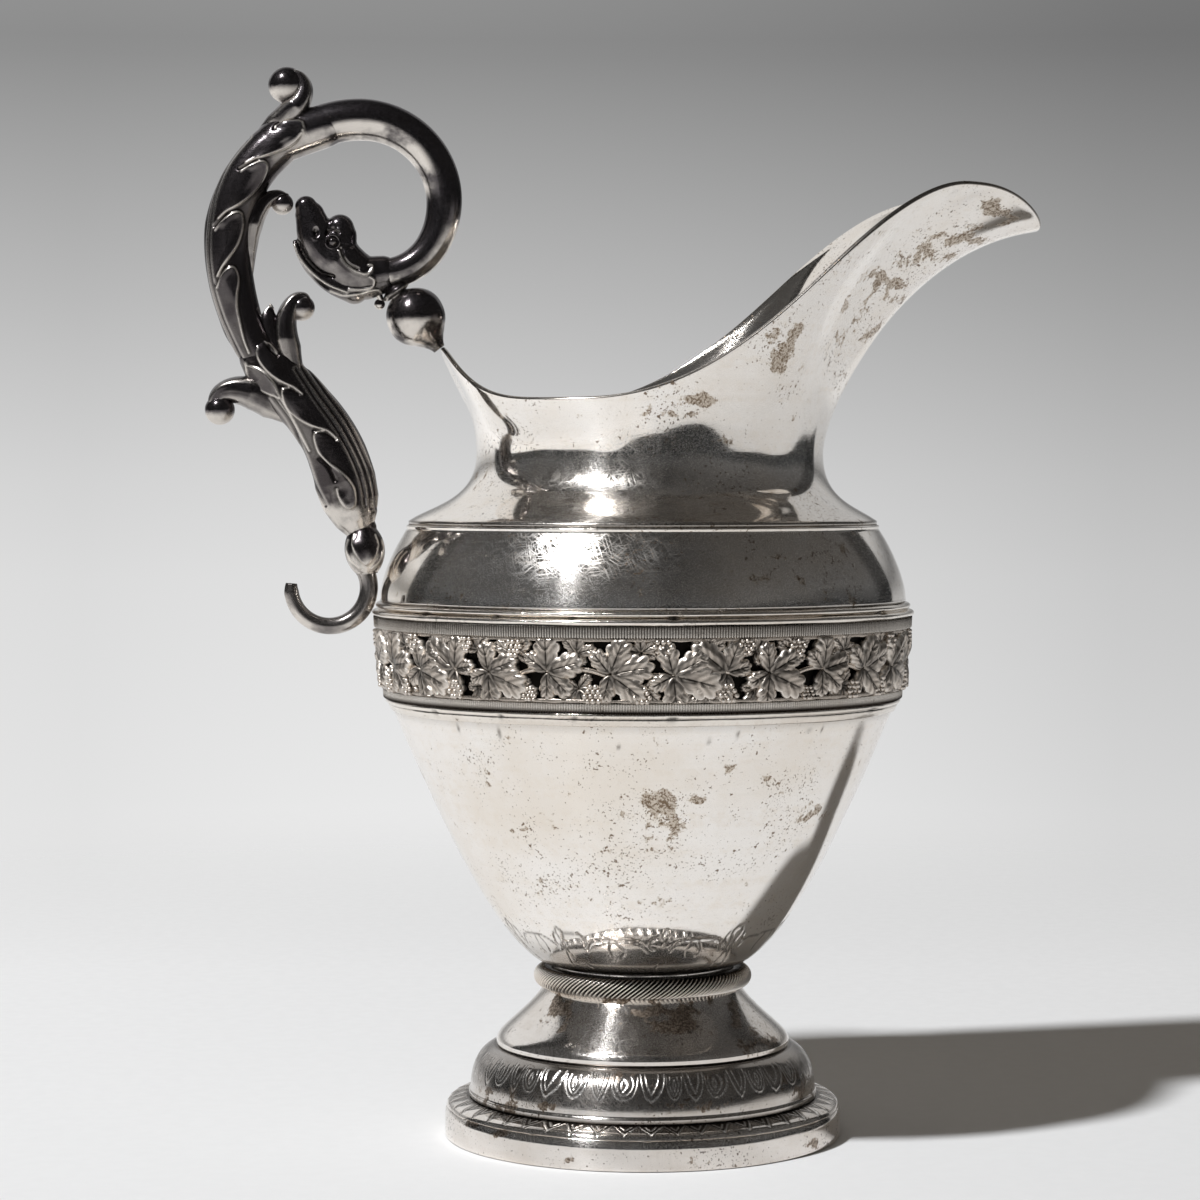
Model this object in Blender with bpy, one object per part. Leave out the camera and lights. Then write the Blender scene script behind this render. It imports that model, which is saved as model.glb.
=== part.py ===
"""Silver milk jug: moulded foot, bowl with a pierced vine frieze, spouted neck and scroll handle."""
import math

import bmesh
import bpy
from mathutils import Matrix, Vector, geometry

# Shared sizes, in metres
GAP = 0.0003
SHEET = 0.0009
SEGMENTS = 40

# Foot
FOOT_RADIUS = 0.0365
PLINTH_HEIGHT = 0.0052
PLINTH_WALL = 0.0015
FLANGE_RISE = 0.0008
FLANGE_WIDTH = 0.0074
DOME_RADIUS = 0.0318
DOME_RISE = 0.0090
DOME_LIP = 0.0008
TRUMPET_RADIUS = 0.0270
TRUMPET_EDGE = 0.0009
TRUMPET_RISE = 0.0095
WAIST_RADIUS = 0.0165

# Bowl and its girdle
COLLAR_HEIGHT = 0.0038
COLLAR_BULGE = 0.0030
BOWL_RISE = 0.0466
BOWL_GIRTH = 0.0460
BOWL_CURVE = 0.675
LOWER_MOULDING_HEIGHT = 0.0023
LOWER_MOULDING_REACH = 0.0012
LOWER_STRIP_HEIGHT = 0.0012
FRIEZE_HEIGHT = 0.0112
FRIEZE_REACH_LOW = 0.0020
FRIEZE_REACH_HIGH = 0.0030
UPPER_STRIP_HEIGHT = 0.0016
UPPER_MOULDING_HEIGHT = 0.0023
UPPER_MOULDING_REACH = 0.0037

# Shoulder and neck
SHOULDER_INSET = 0.0015
SHOULDER_RISE = 0.0136
SHOULDER_DRAW = 0.0050
SHOULDER_CURVE = 1.7
NECK_STEP = 0.0003
NECK_EDGE = 0.0007
NECK_WAIST_RADIUS = 0.0320
NECK_WAIST_LEAN = 0.0013
NECK_WAIST_RISE = 0.0130
RIM_BACK_REACH = 0.0373
RIM_BACK_RISE = 0.0321
RIM_LOW_RISE = 0.0224
RIM_LOW_PLACE = -0.0170
MOUTH_HALF_WIDTH = 0.0333
SPOUT_REACH = 0.0739
SPOUT_TIP_RISE = 0.0546
SPOUT_TOP_RISE = 0.0610
SPOUT_TOP_PLACE = 0.0570
SPOUT_FULLNESS = 0.42
NECK_COLUMNS = 44
NECK_LOW_ROWS = 4
NECK_HIGH_ROWS = 7

# Handle
BALL_RADIUS = 0.00545
BALL_STANDOFF = 0.0022
BALL_LEAN = math.radians(127)
LOOP_OUT = 0.0147
LOOP_UP = 0.0271
LOOP_RADIUS = 0.0153
LOOP_OPENING = 0.0006
LOOP_CLOSING = 0.0013
LOOP_START = math.radians(122)
LOOP_END = math.radians(-68)
LOOP_HALF_TOP = 0.0039
LOOP_HALF_END = 0.0028
HEAD_LENGTH = 0.0150
BROW_RADIUS = 0.0032
CHIN_BEAD_RADIUS = 0.0010
STEM_HALF = 0.0045
STEM_DEPTH = 0.0042
STEM_BOW = 0.0112
STEM_END_OUT = 0.0328
STEM_END_DROP = 0.0014
SHEATH_HALF = 0.0057
SHEATH_DEPTH = 0.0047
SHEATH_BOW = 0.0032
KNOT_RADIUS = 0.0037
KNOT_OUT = 0.0019
KNOT_UP = 0.0146
TAIL_RADIUS = 0.0071
TAIL_OUT = 0.0076
TAIL_UP = 0.0039
TAIL_HALF = 0.0016
TAIL_TIP_HALF = 0.0012
TOP_BEAD_RADIUS = 0.0029
INNER_BEAD_RADIUS = 0.0019
MIDDLE_BEAD_RADIUS = 0.0024
OUTER_BEAD_RADIUS = 0.0026
HANDLE_SIDES = 12
CURL_SIDES = 10


def clear_scene():
    for item in list(bpy.data.objects):
        bpy.data.objects.remove(item, do_unlink=True)


def metal(name, colour, roughness):
    made = bpy.data.materials.new(name)
    made.use_nodes = True
    shader = made.node_tree.nodes["Principled BSDF"]
    shader.inputs["Base Color"].default_value = (*colour, 1.0)
    shader.inputs["Roughness"].default_value = roughness
    shader.inputs["Metallic"].default_value = 1.0
    return made


def add_piece(name, mesh_data, surface, closed=True):
    if closed:
        bmesh.ops.recalc_face_normals(mesh_data, faces=mesh_data.faces)
    mesh = bpy.data.meshes.new(name)
    mesh_data.to_mesh(mesh)
    mesh_data.free()
    piece = bpy.data.objects.new(name, mesh)
    bpy.context.collection.objects.link(piece)
    piece.parent = jug_axis
    if surface:
        mesh.materials.append(surface)
    return piece


def hide_tool(piece):
    piece.hide_render = True
    piece.display_type = "WIRE"
    return piece


def join_shape(piece, tool, operation):
    step = piece.modifiers.new(operation.lower(), "BOOLEAN")
    step.operation = operation
    step.solver = "EXACT"
    step.object = hide_tool(tool)


def lathe(name, outline, surface):
    """A closed outline of (radius, height) points turned once round the jug's axis."""
    ring = bmesh.new()
    verts = [ring.verts.new((radius, 0.0, height)) for radius, height in outline]
    edges = [ring.edges.new((verts[i], verts[(i + 1) % len(verts)])) for i in range(len(verts))]
    bmesh.ops.spin(ring, geom=verts + edges, cent=(0, 0, 0), axis=(0, 0, 1), angle=2 * math.pi,
                   steps=SEGMENTS, use_merge=True)
    bmesh.ops.remove_doubles(ring, verts=ring.verts, dist=1e-7)
    centre_edges = [edge for edge in ring.edges if not edge.link_faces]
    bmesh.ops.delete(ring, geom=centre_edges, context="EDGES")
    return add_piece(name, ring, surface)


def path_through(points, steps):
    """A smooth run through control points, each a tuple of numbers, with steps per stretch."""
    run = []
    last = len(points) - 1
    for i in range(last):
        p0, p1 = points[max(i - 1, 0)], points[i]
        p2, p3 = points[i + 1], points[min(i + 2, last)]
        for step in range(steps):
            t = step / steps
            run.append(tuple(
                0.5 * (2 * b + (c - a) * t + (2 * a - 5 * b + 4 * c - d) * t * t
                       + (3 * b - a - 3 * c + d) * t ** 3)
                for a, b, c, d in zip(p0, p1, p2, p3)))
    run.append(points[last])
    return run


def meeting_end(run, near_end=False):
    """The point and outward direction at one end of a handle piece."""
    tip, before = (run[0], run[1]) if near_end else (run[-1], run[-2])
    spot = Vector(tip[:2])
    return spot, (spot - Vector(before[:2])).normalized()


def run_from(spot, way, breadth, depth, points, steps):
    """A run whose first ring faces the piece that it meets, a gap away, before it goes through its points."""
    start = spot + way * GAP
    after = start + way * SHEET
    first = (start.x, start.y, breadth, depth)
    return [first] + path_through([(after.x, after.y, breadth, depth)] + points, steps)


def loft(name, stations, sides, surface):
    """Oval rings across a path in the handle's plane; a station is (x, z, half breadth, half depth)."""
    tube = bmesh.new()
    rings = []
    count = len(stations)
    for i, (x, z, breadth, depth) in enumerate(stations):
        before, after = stations[max(i - 1, 0)], stations[min(i + 1, count - 1)]
        along = Vector((after[0] - before[0], after[1] - before[1])).normalized()
        ring = []
        for side in range(sides):
            turn = 2 * math.pi * side / sides
            across = breadth * math.cos(turn)
            ring.append(tube.verts.new((x - along.y * across, depth * math.sin(turn), z + along.x * across)))
        rings.append(ring)
    for low, high in zip(rings, rings[1:]):
        for side in range(sides):
            beside = (side + 1) % sides
            tube.faces.new((low[side], low[beside], high[beside], high[side]))
    tube.faces.new(rings[0])
    tube.faces.new(rings[-1])
    return add_piece(name, tube, surface)


def ball(name, x, z, radius, surface):
    sphere = bmesh.new()
    bmesh.ops.create_uvsphere(sphere, u_segments=12, v_segments=8, radius=radius,
                              matrix=Matrix.Translation((x, 0, z)))
    return add_piece(name, sphere, surface)


def curve_point(start, start_pull, end_pull, end, t):
    s = 1 - t
    return tuple(s ** 3 * a + 3 * s * s * t * b + 3 * s * t * t * c + t ** 3 * d
                 for a, b, c, d in zip(start, start_pull, end_pull, end))


clear_scene()
jug_axis = bpy.data.objects.new("jug_axis", None)
bpy.context.collection.objects.link(jug_axis)

body_silver = metal("body_silver", (0.84, 0.81, 0.76), 0.2)
foot_silver = metal("foot_silver", (0.80, 0.77, 0.72), 0.22)
handle_silver = metal("handle_silver", (0.46, 0.44, 0.42), 0.26)
trim_silver = metal("trim_silver", (0.66, 0.62, 0.57), 0.3)
vine_silver = metal("vine_silver", (0.56, 0.52, 0.47), 0.38)

# Foot, from the table up
foot_wall = FOOT_RADIUS - PLINTH_WALL
foot_bevel = SHEET / 3
plinth_top = PLINTH_HEIGHT
lathe("foot_plinth", [
    (FOOT_RADIUS, 0.0),
    (FOOT_RADIUS, plinth_top),
    (foot_wall, plinth_top),
    (foot_wall, 0.0),
], foot_silver)

flange_low = plinth_top + GAP
flange_inner = min(DOME_RADIUS - 3 * SHEET, FOOT_RADIUS - FLANGE_WIDTH)
flange_top = flange_low + SHEET + FLANGE_RISE
dome_edge = DOME_RADIUS + foot_bevel
lathe("foot_flange", [
    (FOOT_RADIUS, flange_low),
    (FOOT_RADIUS, flange_low + SHEET - foot_bevel),
    (FOOT_RADIUS - foot_bevel, flange_low + SHEET),
    (dome_edge, flange_top),
    (flange_inner, flange_top),
    (flange_inner, flange_top - SHEET),
    (dome_edge, flange_top - SHEET),
    (foot_wall, flange_low),
], foot_silver)

dome_low = flange_top + GAP
dome_top = dome_low + DOME_RISE
dome_crown = TRUMPET_RADIUS - SHEET
dome_span = DOME_RADIUS - dome_crown
dome_arc = [math.radians(angle) for angle in (0, 30, 60, 90)]
dome_start = dome_low + DOME_LIP
dome_height = dome_top - dome_start
dome_outer = [(dome_crown + dome_span * math.cos(angle) ** 0.8, dome_start + dome_height * math.sin(angle))
              for angle in dome_arc]
dome_hollow = [(radius - SHEET, dome_low + (height - dome_low) * (DOME_RISE - SHEET) / DOME_RISE)
               for radius, height in reversed(dome_outer)]
lathe("foot_dome", [
    (dome_edge, dome_low),
    (dome_edge, dome_start),
] + dome_outer + [(dome_crown - 2 * SHEET, dome_top), (dome_crown - 2 * SHEET, dome_top - SHEET)]
    + dome_hollow + [(DOME_RADIUS - SHEET, dome_low)], foot_silver)

trumpet_low = dome_top + GAP
trumpet_top = trumpet_low + TRUMPET_EDGE + TRUMPET_RISE
collar_low = trumpet_top + GAP
collar_top = collar_low + COLLAR_HEIGHT
bowl_low = collar_top + GAP
trumpet_head = WAIST_RADIUS + COLLAR_BULGE / 2


def trumpet_line(inset):
    rise = TRUMPET_RISE
    start = (TRUMPET_RADIUS - inset, trumpet_low + TRUMPET_EDGE)
    end = (trumpet_head - inset, trumpet_top)
    span = start[0] - end[0]
    start_pull = (start[0] - 0.02 * span, start[1] + 0.16 * rise)
    end_pull = (end[0] + 0.17 * span, end[1] - 0.36 * rise)
    return [curve_point(start, start_pull, end_pull, end, t) for t in (0, 0.25, 0.5, 0.75, 1)]


trumpet_hollow = list(reversed(trumpet_line(SHEET)[1:]))
lathe("foot_trumpet", [(TRUMPET_RADIUS, trumpet_low)] + trumpet_line(0.0) + [
    (WAIST_RADIUS, trumpet_top),
    (WAIST_RADIUS, bowl_low - GAP),
    (WAIST_RADIUS - SHEET, bowl_low - GAP),
    (WAIST_RADIUS - SHEET, trumpet_top - SHEET),
] + [(radius, height - SHEET) for radius, height in trumpet_hollow]
    + [(TRUMPET_RADIUS - 3 * SHEET, trumpet_low)], foot_silver)

# Rope collar round the joint of foot and bowl
collar_seat = WAIST_RADIUS + GAP
collar_mid = (collar_low + collar_top) / 2
collar_round = [
    (collar_seat + COLLAR_BULGE * (0.35 + 0.65 * math.cos(angle)),
     collar_mid + COLLAR_HEIGHT / 2 * math.sin(angle))
    for angle in (math.radians(turn) for turn in (-80, -50, -20, 20, 50, 80))
]
lathe("rope_collar", [(collar_seat, collar_low)] + collar_round + [(collar_seat, collar_top)], trim_silver)

# Bowl, with the plain wall that stands behind the frieze
bowl_foot = collar_seat + COLLAR_BULGE * 0.35
girdle_low = bowl_low + BOWL_RISE
lower_strip_low = girdle_low + LOWER_MOULDING_HEIGHT + GAP
frieze_low = lower_strip_low + LOWER_STRIP_HEIGHT + GAP
frieze_top = frieze_low + FRIEZE_HEIGHT
upper_strip_low = frieze_top + GAP
upper_moulding_low = upper_strip_low + UPPER_STRIP_HEIGHT + GAP
upper_moulding_top = upper_moulding_low + UPPER_MOULDING_HEIGHT
bowl_steps = [0.0, 0.02, 0.07, 0.15, 0.28, 0.44, 0.62, 0.81, 1.0]
bowl_outer = [(bowl_foot + (BOWL_GIRTH - bowl_foot) * step ** BOWL_CURVE, bowl_low + BOWL_RISE * step)
              for step in bowl_steps]
bowl_hollow = [(radius - SHEET, height + SHEET * (1 - step)) for (radius, height), step
               in zip(bowl_outer[1:], bowl_steps[1:])]
lathe("bowl", [(0.0, bowl_low)] + bowl_outer + [
    (BOWL_GIRTH, upper_moulding_top),
    (BOWL_GIRTH - SHEET, upper_moulding_top),
] + list(reversed(bowl_hollow)) + [(0.0, bowl_low + SHEET)], body_silver)

# Girdle: mouldings, milled strips and the pierced frieze between them
girdle_seat = BOWL_GIRTH + GAP


def moulding(name, low, height, reach):
    bulge = [(girdle_seat + reach * (0.55 + 0.45 * math.cos(angle)),
              low + height * (0.5 + 0.5 * math.sin(angle)))
             for angle in (math.radians(turn) for turn in (-90, -40, 0, 40, 90))]
    return lathe(name, [(girdle_seat, low)] + bulge + [(girdle_seat, low + height)], trim_silver)


def strip(name, low, height, reach):
    return lathe(name, [
        (girdle_seat, low),
        (girdle_seat + reach, low),
        (girdle_seat + reach, low + height),
        (girdle_seat, low + height),
    ], trim_silver)


moulding("lower_moulding", girdle_low, LOWER_MOULDING_HEIGHT, LOWER_MOULDING_REACH)
strip("lower_milled_strip", lower_strip_low, LOWER_STRIP_HEIGHT, FRIEZE_REACH_LOW - SHEET / 2)
strip("upper_milled_strip", upper_strip_low, UPPER_STRIP_HEIGHT, FRIEZE_REACH_HIGH)
moulding("upper_moulding", upper_moulding_low, UPPER_MOULDING_HEIGHT, UPPER_MOULDING_REACH)

FRIEZE_REPEATS = 6
FRIEZE_SEAM = math.radians(-7.6)
FRIEZE_RAIL = 0.0007
LEAF_POINTS = 20
LEAVES = (
    (0.0, 0.50, 0.0056, -20),
    (15.5, 0.55, 0.0055, 30),
    (28.0, 0.50, 0.0052, -10),
    (40.5, 0.38, 0.0050, 170),
    (47.5, 0.68, 0.0036, 60),
)


def leaf_outline(middle, height, size, turn):
    """A five-lobed vine leaf on the unrolled frieze, as (angle, height) points."""
    lobes = (1.0, 0.90, 0.62, 0.90)
    outline = []
    for i in range(LEAF_POINTS):
        around = 2 * math.pi * i / LEAF_POINTS + math.radians(turn)
        reach = size * lobes[i % 4]
        up = height * FRIEZE_HEIGHT + reach * math.sin(around)
        up = min(max(up, 0.2 * FRIEZE_RAIL), FRIEZE_HEIGHT - 0.2 * FRIEZE_RAIL)
        outline.append((math.radians(middle) + reach * math.cos(around) / BOWL_GIRTH, up))
    return outline


def pierced_frieze():
    points, shapes = [], []

    def add_shape(outline):
        shapes.append(list(range(len(points), len(points) + len(outline))))
        points.extend(Vector((angle * BOWL_GIRTH, up)) for angle, up in outline)

    turns = [FRIEZE_SEAM + 2 * math.pi * i / SEGMENTS for i in range(SEGMENTS + 1)]
    for low, high in ((0.0, FRIEZE_RAIL), (FRIEZE_HEIGHT - FRIEZE_RAIL, FRIEZE_HEIGHT)):
        add_shape([(turn, low) for turn in turns] + [(turn, high) for turn in reversed(turns)])
    for repeat in range(FRIEZE_REPEATS):
        for middle, height, size, turn in LEAVES:
            add_shape(leaf_outline(middle + 360 / FRIEZE_REPEATS * repeat, height, size, turn))
    flat = geometry.delaunay_2d_cdt(points, [], shapes, 1, 1e-6, True)
    spots, faces = flat[0], [face for face, owner in zip(flat[2], flat[5]) if owner]
    return spots, faces


def wrap(spot, inset):
    angle = spot.x / BOWL_GIRTH
    share = spot.y / FRIEZE_HEIGHT
    swell = FRIEZE_REACH_LOW + (FRIEZE_REACH_HIGH - FRIEZE_REACH_LOW) * (1 - (1 - share) ** 2)
    radius = girdle_seat + swell - inset
    return radius * math.cos(angle), radius * math.sin(angle), frieze_low + spot.y


spots, panels = pierced_frieze()
band = bmesh.new()
outer = [band.verts.new(wrap(spot, 0.0)) for spot in spots]
inner = [band.verts.new(wrap(spot, SHEET)) for spot in spots]
sides = {}
for panel in panels:
    band.faces.new([outer[i] for i in panel])
    band.faces.new([inner[i] for i in reversed(panel)])
    for start, end in zip(panel, panel[1:] + panel[:1]):
        sides[(start, end)] = True
seam_start = FRIEZE_SEAM * BOWL_GIRTH
seam_end = seam_start + 2 * math.pi * BOWL_GIRTH
for start, end in sides:
    on_seam = any(abs(spots[start].x - seam) < 1e-6 and abs(spots[end].x - seam) < 1e-6
                  for seam in (seam_start, seam_end))
    if (end, start) not in sides and not on_seam:
        band.faces.new((outer[start], inner[start], inner[end], outer[end]))
bmesh.ops.remove_doubles(band, verts=band.verts, dist=2e-6)
loose = [vert for vert in band.verts if not vert.link_faces]
bmesh.ops.delete(band, geom=loose, context="VERTS")
add_piece("vine_frieze", band, vine_silver)

# Shoulder
shoulder_low = upper_moulding_top + GAP
shoulder_top = shoulder_low + SHOULDER_RISE
shoulder_radius = girdle_seat + UPPER_MOULDING_REACH - SHOULDER_INSET
shoulder_outer = [
    (shoulder_radius - SHOULDER_DRAW * step ** SHOULDER_CURVE, shoulder_low + SHOULDER_RISE * step)
    for step in (0, 0.22, 0.42, 0.6, 0.75, 0.88, 1)
]
shoulder_hollow = [(radius - SHEET, height) for radius, height in reversed(shoulder_outer)]
lathe("shoulder", shoulder_outer + shoulder_hollow, body_silver)

# Neck, mouth and spout
neck_low = shoulder_top + GAP
neck_foot = shoulder_radius - SHOULDER_DRAW - NECK_STEP
waist_z = neck_low + NECK_WAIST_RISE


def mouth_width(x):
    if x > 0:
        return MOUTH_HALF_WIDTH * max(1 - (x / SPOUT_REACH) ** 2, 0.0) ** SPOUT_FULLNESS
    return MOUTH_HALF_WIDTH * max(1 - (x / RIM_BACK_REACH) ** 2, 0.0) ** 0.5


def rim_rise(x):
    """Height of the rim above the neck's foot: up at the handle, low at the side, high at the spout."""
    if x < RIM_LOW_PLACE:
        share = (RIM_LOW_PLACE - x) / (RIM_LOW_PLACE + RIM_BACK_REACH)
        return RIM_LOW_RISE + (RIM_BACK_RISE - RIM_LOW_RISE) * share ** 4.2
    if x < SPOUT_TOP_PLACE:
        share = (x - RIM_LOW_PLACE) / (SPOUT_TOP_PLACE - RIM_LOW_PLACE)
        share = share ** 1.30
        ease = share * share * (3 - 2 * share)
        return RIM_LOW_RISE + (SPOUT_TOP_RISE - RIM_LOW_RISE) * ease
    share = (x - SPOUT_TOP_PLACE) / (SPOUT_REACH - SPOUT_TOP_PLACE)
    return SPOUT_TOP_RISE - (SPOUT_TOP_RISE - SPOUT_TIP_RISE) * share ** 2.5


def rim_point(turn):
    """The rim's plan point that lies at this angle round the axis."""
    low, high = -RIM_BACK_REACH, SPOUT_REACH
    aim = abs(turn)
    for _ in range(60):
        x = (low + high) / 2
        if math.atan2(mouth_width(x), x) > aim:
            low = x
        else:
            high = x
    return x, math.copysign(mouth_width(x), turn), neck_low + rim_rise(x)


def neck_column(turn):
    """Points up one line of the neck, from the shoulder to the rim."""
    share = abs(turn) / math.pi
    way_x, way_y = math.cos(turn), math.sin(turn)
    foot = (neck_foot * way_x, neck_foot * way_y, neck_low)
    edge = (foot[0], foot[1], neck_low + NECK_EDGE)
    waist = (NECK_WAIST_LEAN + NECK_WAIST_RADIUS * way_x, NECK_WAIST_RADIUS * way_y, waist_z)
    rim = rim_point(turn)
    rim_radius = math.hypot(rim[0], rim[1])
    cove = neck_foot - 0.34 * (neck_foot - NECK_WAIST_RADIUS)
    foot_pull = (cove * way_x, cove * way_y, neck_low + NECK_EDGE + 0.22 * NECK_WAIST_RISE)
    waist_low = (waist[0], waist[1], waist_z - 0.66 * NECK_WAIST_RISE)
    ease = min(share * 3, 1.0)
    ease = ease * ease * (3 - 2 * ease)
    climb = rim[2] - waist_z
    waist_high = (waist[0], waist[1], waist_z + (0.14 + 0.26 * ease) * climb)
    lift = math.radians(8 + 67 * ease - 14 * max(2 * share - 1, 0.0) ** 2)
    pull = 0.65 * (rim_radius - NECK_WAIST_RADIUS) + 0.34 * ease * climb
    draw_in = 1 - pull * math.cos(lift) / rim_radius
    rim_pull = (rim[0] * draw_in, rim[1] * draw_in, rim[2] - pull * math.sin(lift))
    low_run = [curve_point(edge, foot_pull, waist_low, waist, i / NECK_LOW_ROWS)
               for i in range(NECK_LOW_ROWS)]
    high_run = [curve_point(waist, waist_high, rim_pull, rim, i / NECK_HIGH_ROWS)
                for i in range(NECK_HIGH_ROWS + 1)]
    return [foot] + low_run + high_run


neck = bmesh.new()
columns = []
for i in range(NECK_COLUMNS):
    turn = 2 * math.pi * i / NECK_COLUMNS
    turn = turn if turn <= math.pi else turn - 2 * math.pi
    columns.append([neck.verts.new(point) for point in neck_column(turn)])
for i, column in enumerate(columns):
    beside = columns[(i + 1) % NECK_COLUMNS]
    for j in range(len(column) - 1):
        neck.faces.new((column[j], beside[j], beside[j + 1], column[j + 1]))
neck_piece = add_piece("neck_and_spout", neck, body_silver, closed=False)
wall = neck_piece.modifiers.new("wall", "SOLIDIFY")
wall.thickness = SHEET
wall.offset = -1.0
wall.use_even_offset = True

# Handle: ball on the rim, loop, beast head, leaf stem, sheath, knot and tail
rim_back = Vector((-RIM_BACK_REACH, neck_low + RIM_BACK_RISE))
loop_centre = rim_back + Vector((-LOOP_OUT, LOOP_UP))


def loop_reach(turn):
    opening = max(turn - math.pi / 2, 0.0) / (LOOP_START - math.pi / 2)
    closing = max(-math.pi / 6 - turn, 0.0) / (-math.pi / 6 - LOOP_END)
    return LOOP_RADIUS + LOOP_OPENING * opening ** 2 - LOOP_CLOSING * closing ** 2


def loop_half(turn):
    share = min((turn - LOOP_END) / (math.pi / 2 - LOOP_END), 1.0)
    return LOOP_HALF_END + (LOOP_HALF_TOP - LOOP_HALF_END) * share


def loop_point(turn, out=0.0):
    reach = loop_reach(turn) + out
    return loop_centre + Vector((reach * math.cos(turn), reach * math.sin(turn)))


LOOP_STEPS = 18
loop_run = []
for i in range(LOOP_STEPS + 1):
    turn = LOOP_START + (LOOP_END - LOOP_START) * i / LOOP_STEPS
    spot = loop_point(turn)
    loop_run.append((spot.x, spot.y, loop_half(turn), loop_half(turn)))
loft("handle_loop", loop_run, HANDLE_SIDES, handle_silver)

peg_way = Vector((math.cos(BALL_LEAN), math.sin(BALL_LEAN)))
ball_centre = rim_back + peg_way * (BALL_STANDOFF + BALL_RADIUS)
rim_ball = ball("rim_ball", ball_centre.x, ball_centre.y, BALL_RADIUS, handle_silver)
peg_start = rim_back + peg_way * GAP
peg_end = ball_centre - peg_way * BALL_RADIUS * 0.5
peg_half = 1.3 * SHEET
peg = loft("ball_peg_shape", [
    (peg_start.x, peg_start.y, peg_half, peg_half),
    (peg_end.x, peg_end.y, 3 * peg_half, 3 * peg_half),
], CURL_SIDES, None)
join_shape(rim_ball, peg, "UNION")
to_loop = (loop_centre - ball_centre).normalized()
meeting = math.atan2(-to_loop.y, -to_loop.x)
collar_end = loop_point(meeting, loop_half(meeting) + GAP)
collar_start = ball_centre + to_loop * BALL_RADIUS * 0.6
collar_half = BALL_RADIUS * 0.42
ball_collar = loft("ball_collar_shape", [
    (collar_start.x, collar_start.y, collar_half, collar_half),
    (collar_end.x, collar_end.y, collar_half, collar_half),
], CURL_SIDES, None)
join_shape(rim_ball, ball_collar, "UNION")

loop_tip, tip_way = meeting_end(loop_run)
HEAD = (
    (-0.187, -0.040, 0.240, 0.213),
    (-0.413, 0.007, 0.327, 0.287),
    (-0.640, 0.167, 0.347, 0.300),
    (-0.873, 0.413, 0.260, 0.240),
    (-1.007, 0.667, 0.153, 0.167),
    (-0.987, 0.873, 0.060, 0.073),
)
BROW = (-0.60, 0.44)
MOUTH_CORNER = (-0.853, 0.140, 0.013)
MOUTH_OPENING = (-1.213, 0.533, 0.047)
CHIN_BEAD = (-0.107, -0.373)


def head_spot(along, up):
    """A point of the head, given in head lengths from the end of the loop."""
    return loop_tip + HEAD_LENGTH * Vector((along, up))


head_points = [(*head_spot(x, z), breadth * HEAD_LENGTH, depth * HEAD_LENGTH)
               for x, z, breadth, depth in HEAD]
head_run = run_from(loop_tip, tip_way, LOOP_HALF_END, LOOP_HALF_END, head_points, 2)
head = loft("beast_head", head_run, HANDLE_SIDES, handle_silver)
brow = ball("brow_shape", *head_spot(*BROW), BROW_RADIUS, None)
join_shape(head, brow, "UNION")
mouth = loft("mouth_gap", [(*head_spot(x, z), half * HEAD_LENGTH, HEAD_LENGTH / 2)
                           for x, z, half in (MOUTH_CORNER, MOUTH_OPENING)], 4, None)
join_shape(head, mouth, "DIFFERENCE")
ball("chin_bead", *head_spot(*CHIN_BEAD), CHIN_BEAD_RADIUS, handle_silver)



def bowed(start, end, share, bow):
    """A point on the way from start to end, set off to the right of that way by bow."""
    way = (end - start).normalized()
    return start.lerp(end, share) + bow * Vector((way.y, -way.x))


loop_root, root_way = meeting_end(loop_run, near_end=True)
stem_foot = rim_back - Vector((STEM_END_OUT, STEM_END_DROP))
STEM = ((0.075, 0.90), (0.19, 0.96), (0.37, 0.98), (0.57, 1.0), (0.77, 0.93), (0.93, 0.84), (1.0, 0.78))
stem_points = []
for share, size in STEM:
    spot = bowed(loop_root, stem_foot, share, STEM_BOW * abs(math.sin(math.pi * share ** 0.85)) ** 0.75)
    stem_points.append((spot.x, spot.y, STEM_HALF * size, STEM_DEPTH * size))
stem_run = run_from(loop_root, root_way, 0.88 * STEM_HALF, 0.92 * STEM_DEPTH, stem_points, 3)
loft("handle_stem", stem_run, HANDLE_SIDES, handle_silver)

moulding_middle = upper_moulding_low + UPPER_MOULDING_HEIGHT / 2
moulding_spot = Vector((-girdle_seat - UPPER_MOULDING_REACH, moulding_middle))
knot_top = moulding_spot + Vector((-KNOT_OUT, KNOT_UP))
stem_end, end_way = meeting_end(stem_run)
SHEATH = ((0.21, 0.92), (0.34, 0.89), (0.49, 0.93), (0.62, 0.98),
          (0.75, 1.0), (0.86, 0.92), (0.95, 0.70), (1.0, 0.50))
sheath_points = []
for share, size in SHEATH:
    spot = bowed(stem_end, knot_top, share, -SHEATH_BOW * abs(math.sin(math.pi * share)) ** 1.6)
    sheath_points.append((spot.x, spot.y, SHEATH_HALF * size, SHEATH_DEPTH * size))
sheath_run = run_from(stem_end, end_way, 0.70 * SHEATH_HALF, 0.75 * SHEATH_DEPTH, sheath_points, 2)
loft("handle_sheath", sheath_run, HANDLE_SIDES, handle_silver)

sheath_end, knot_way = meeting_end(sheath_run)
tail_centre = moulding_spot + Vector((-TAIL_OUT, TAIL_UP))
TAIL_START = math.radians(22)
TAIL_END = math.radians(-186)
TAIL_STEPS = 14


def tail_point(turn):
    return tail_centre + TAIL_RADIUS * Vector((math.cos(turn), math.sin(turn)))


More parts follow.
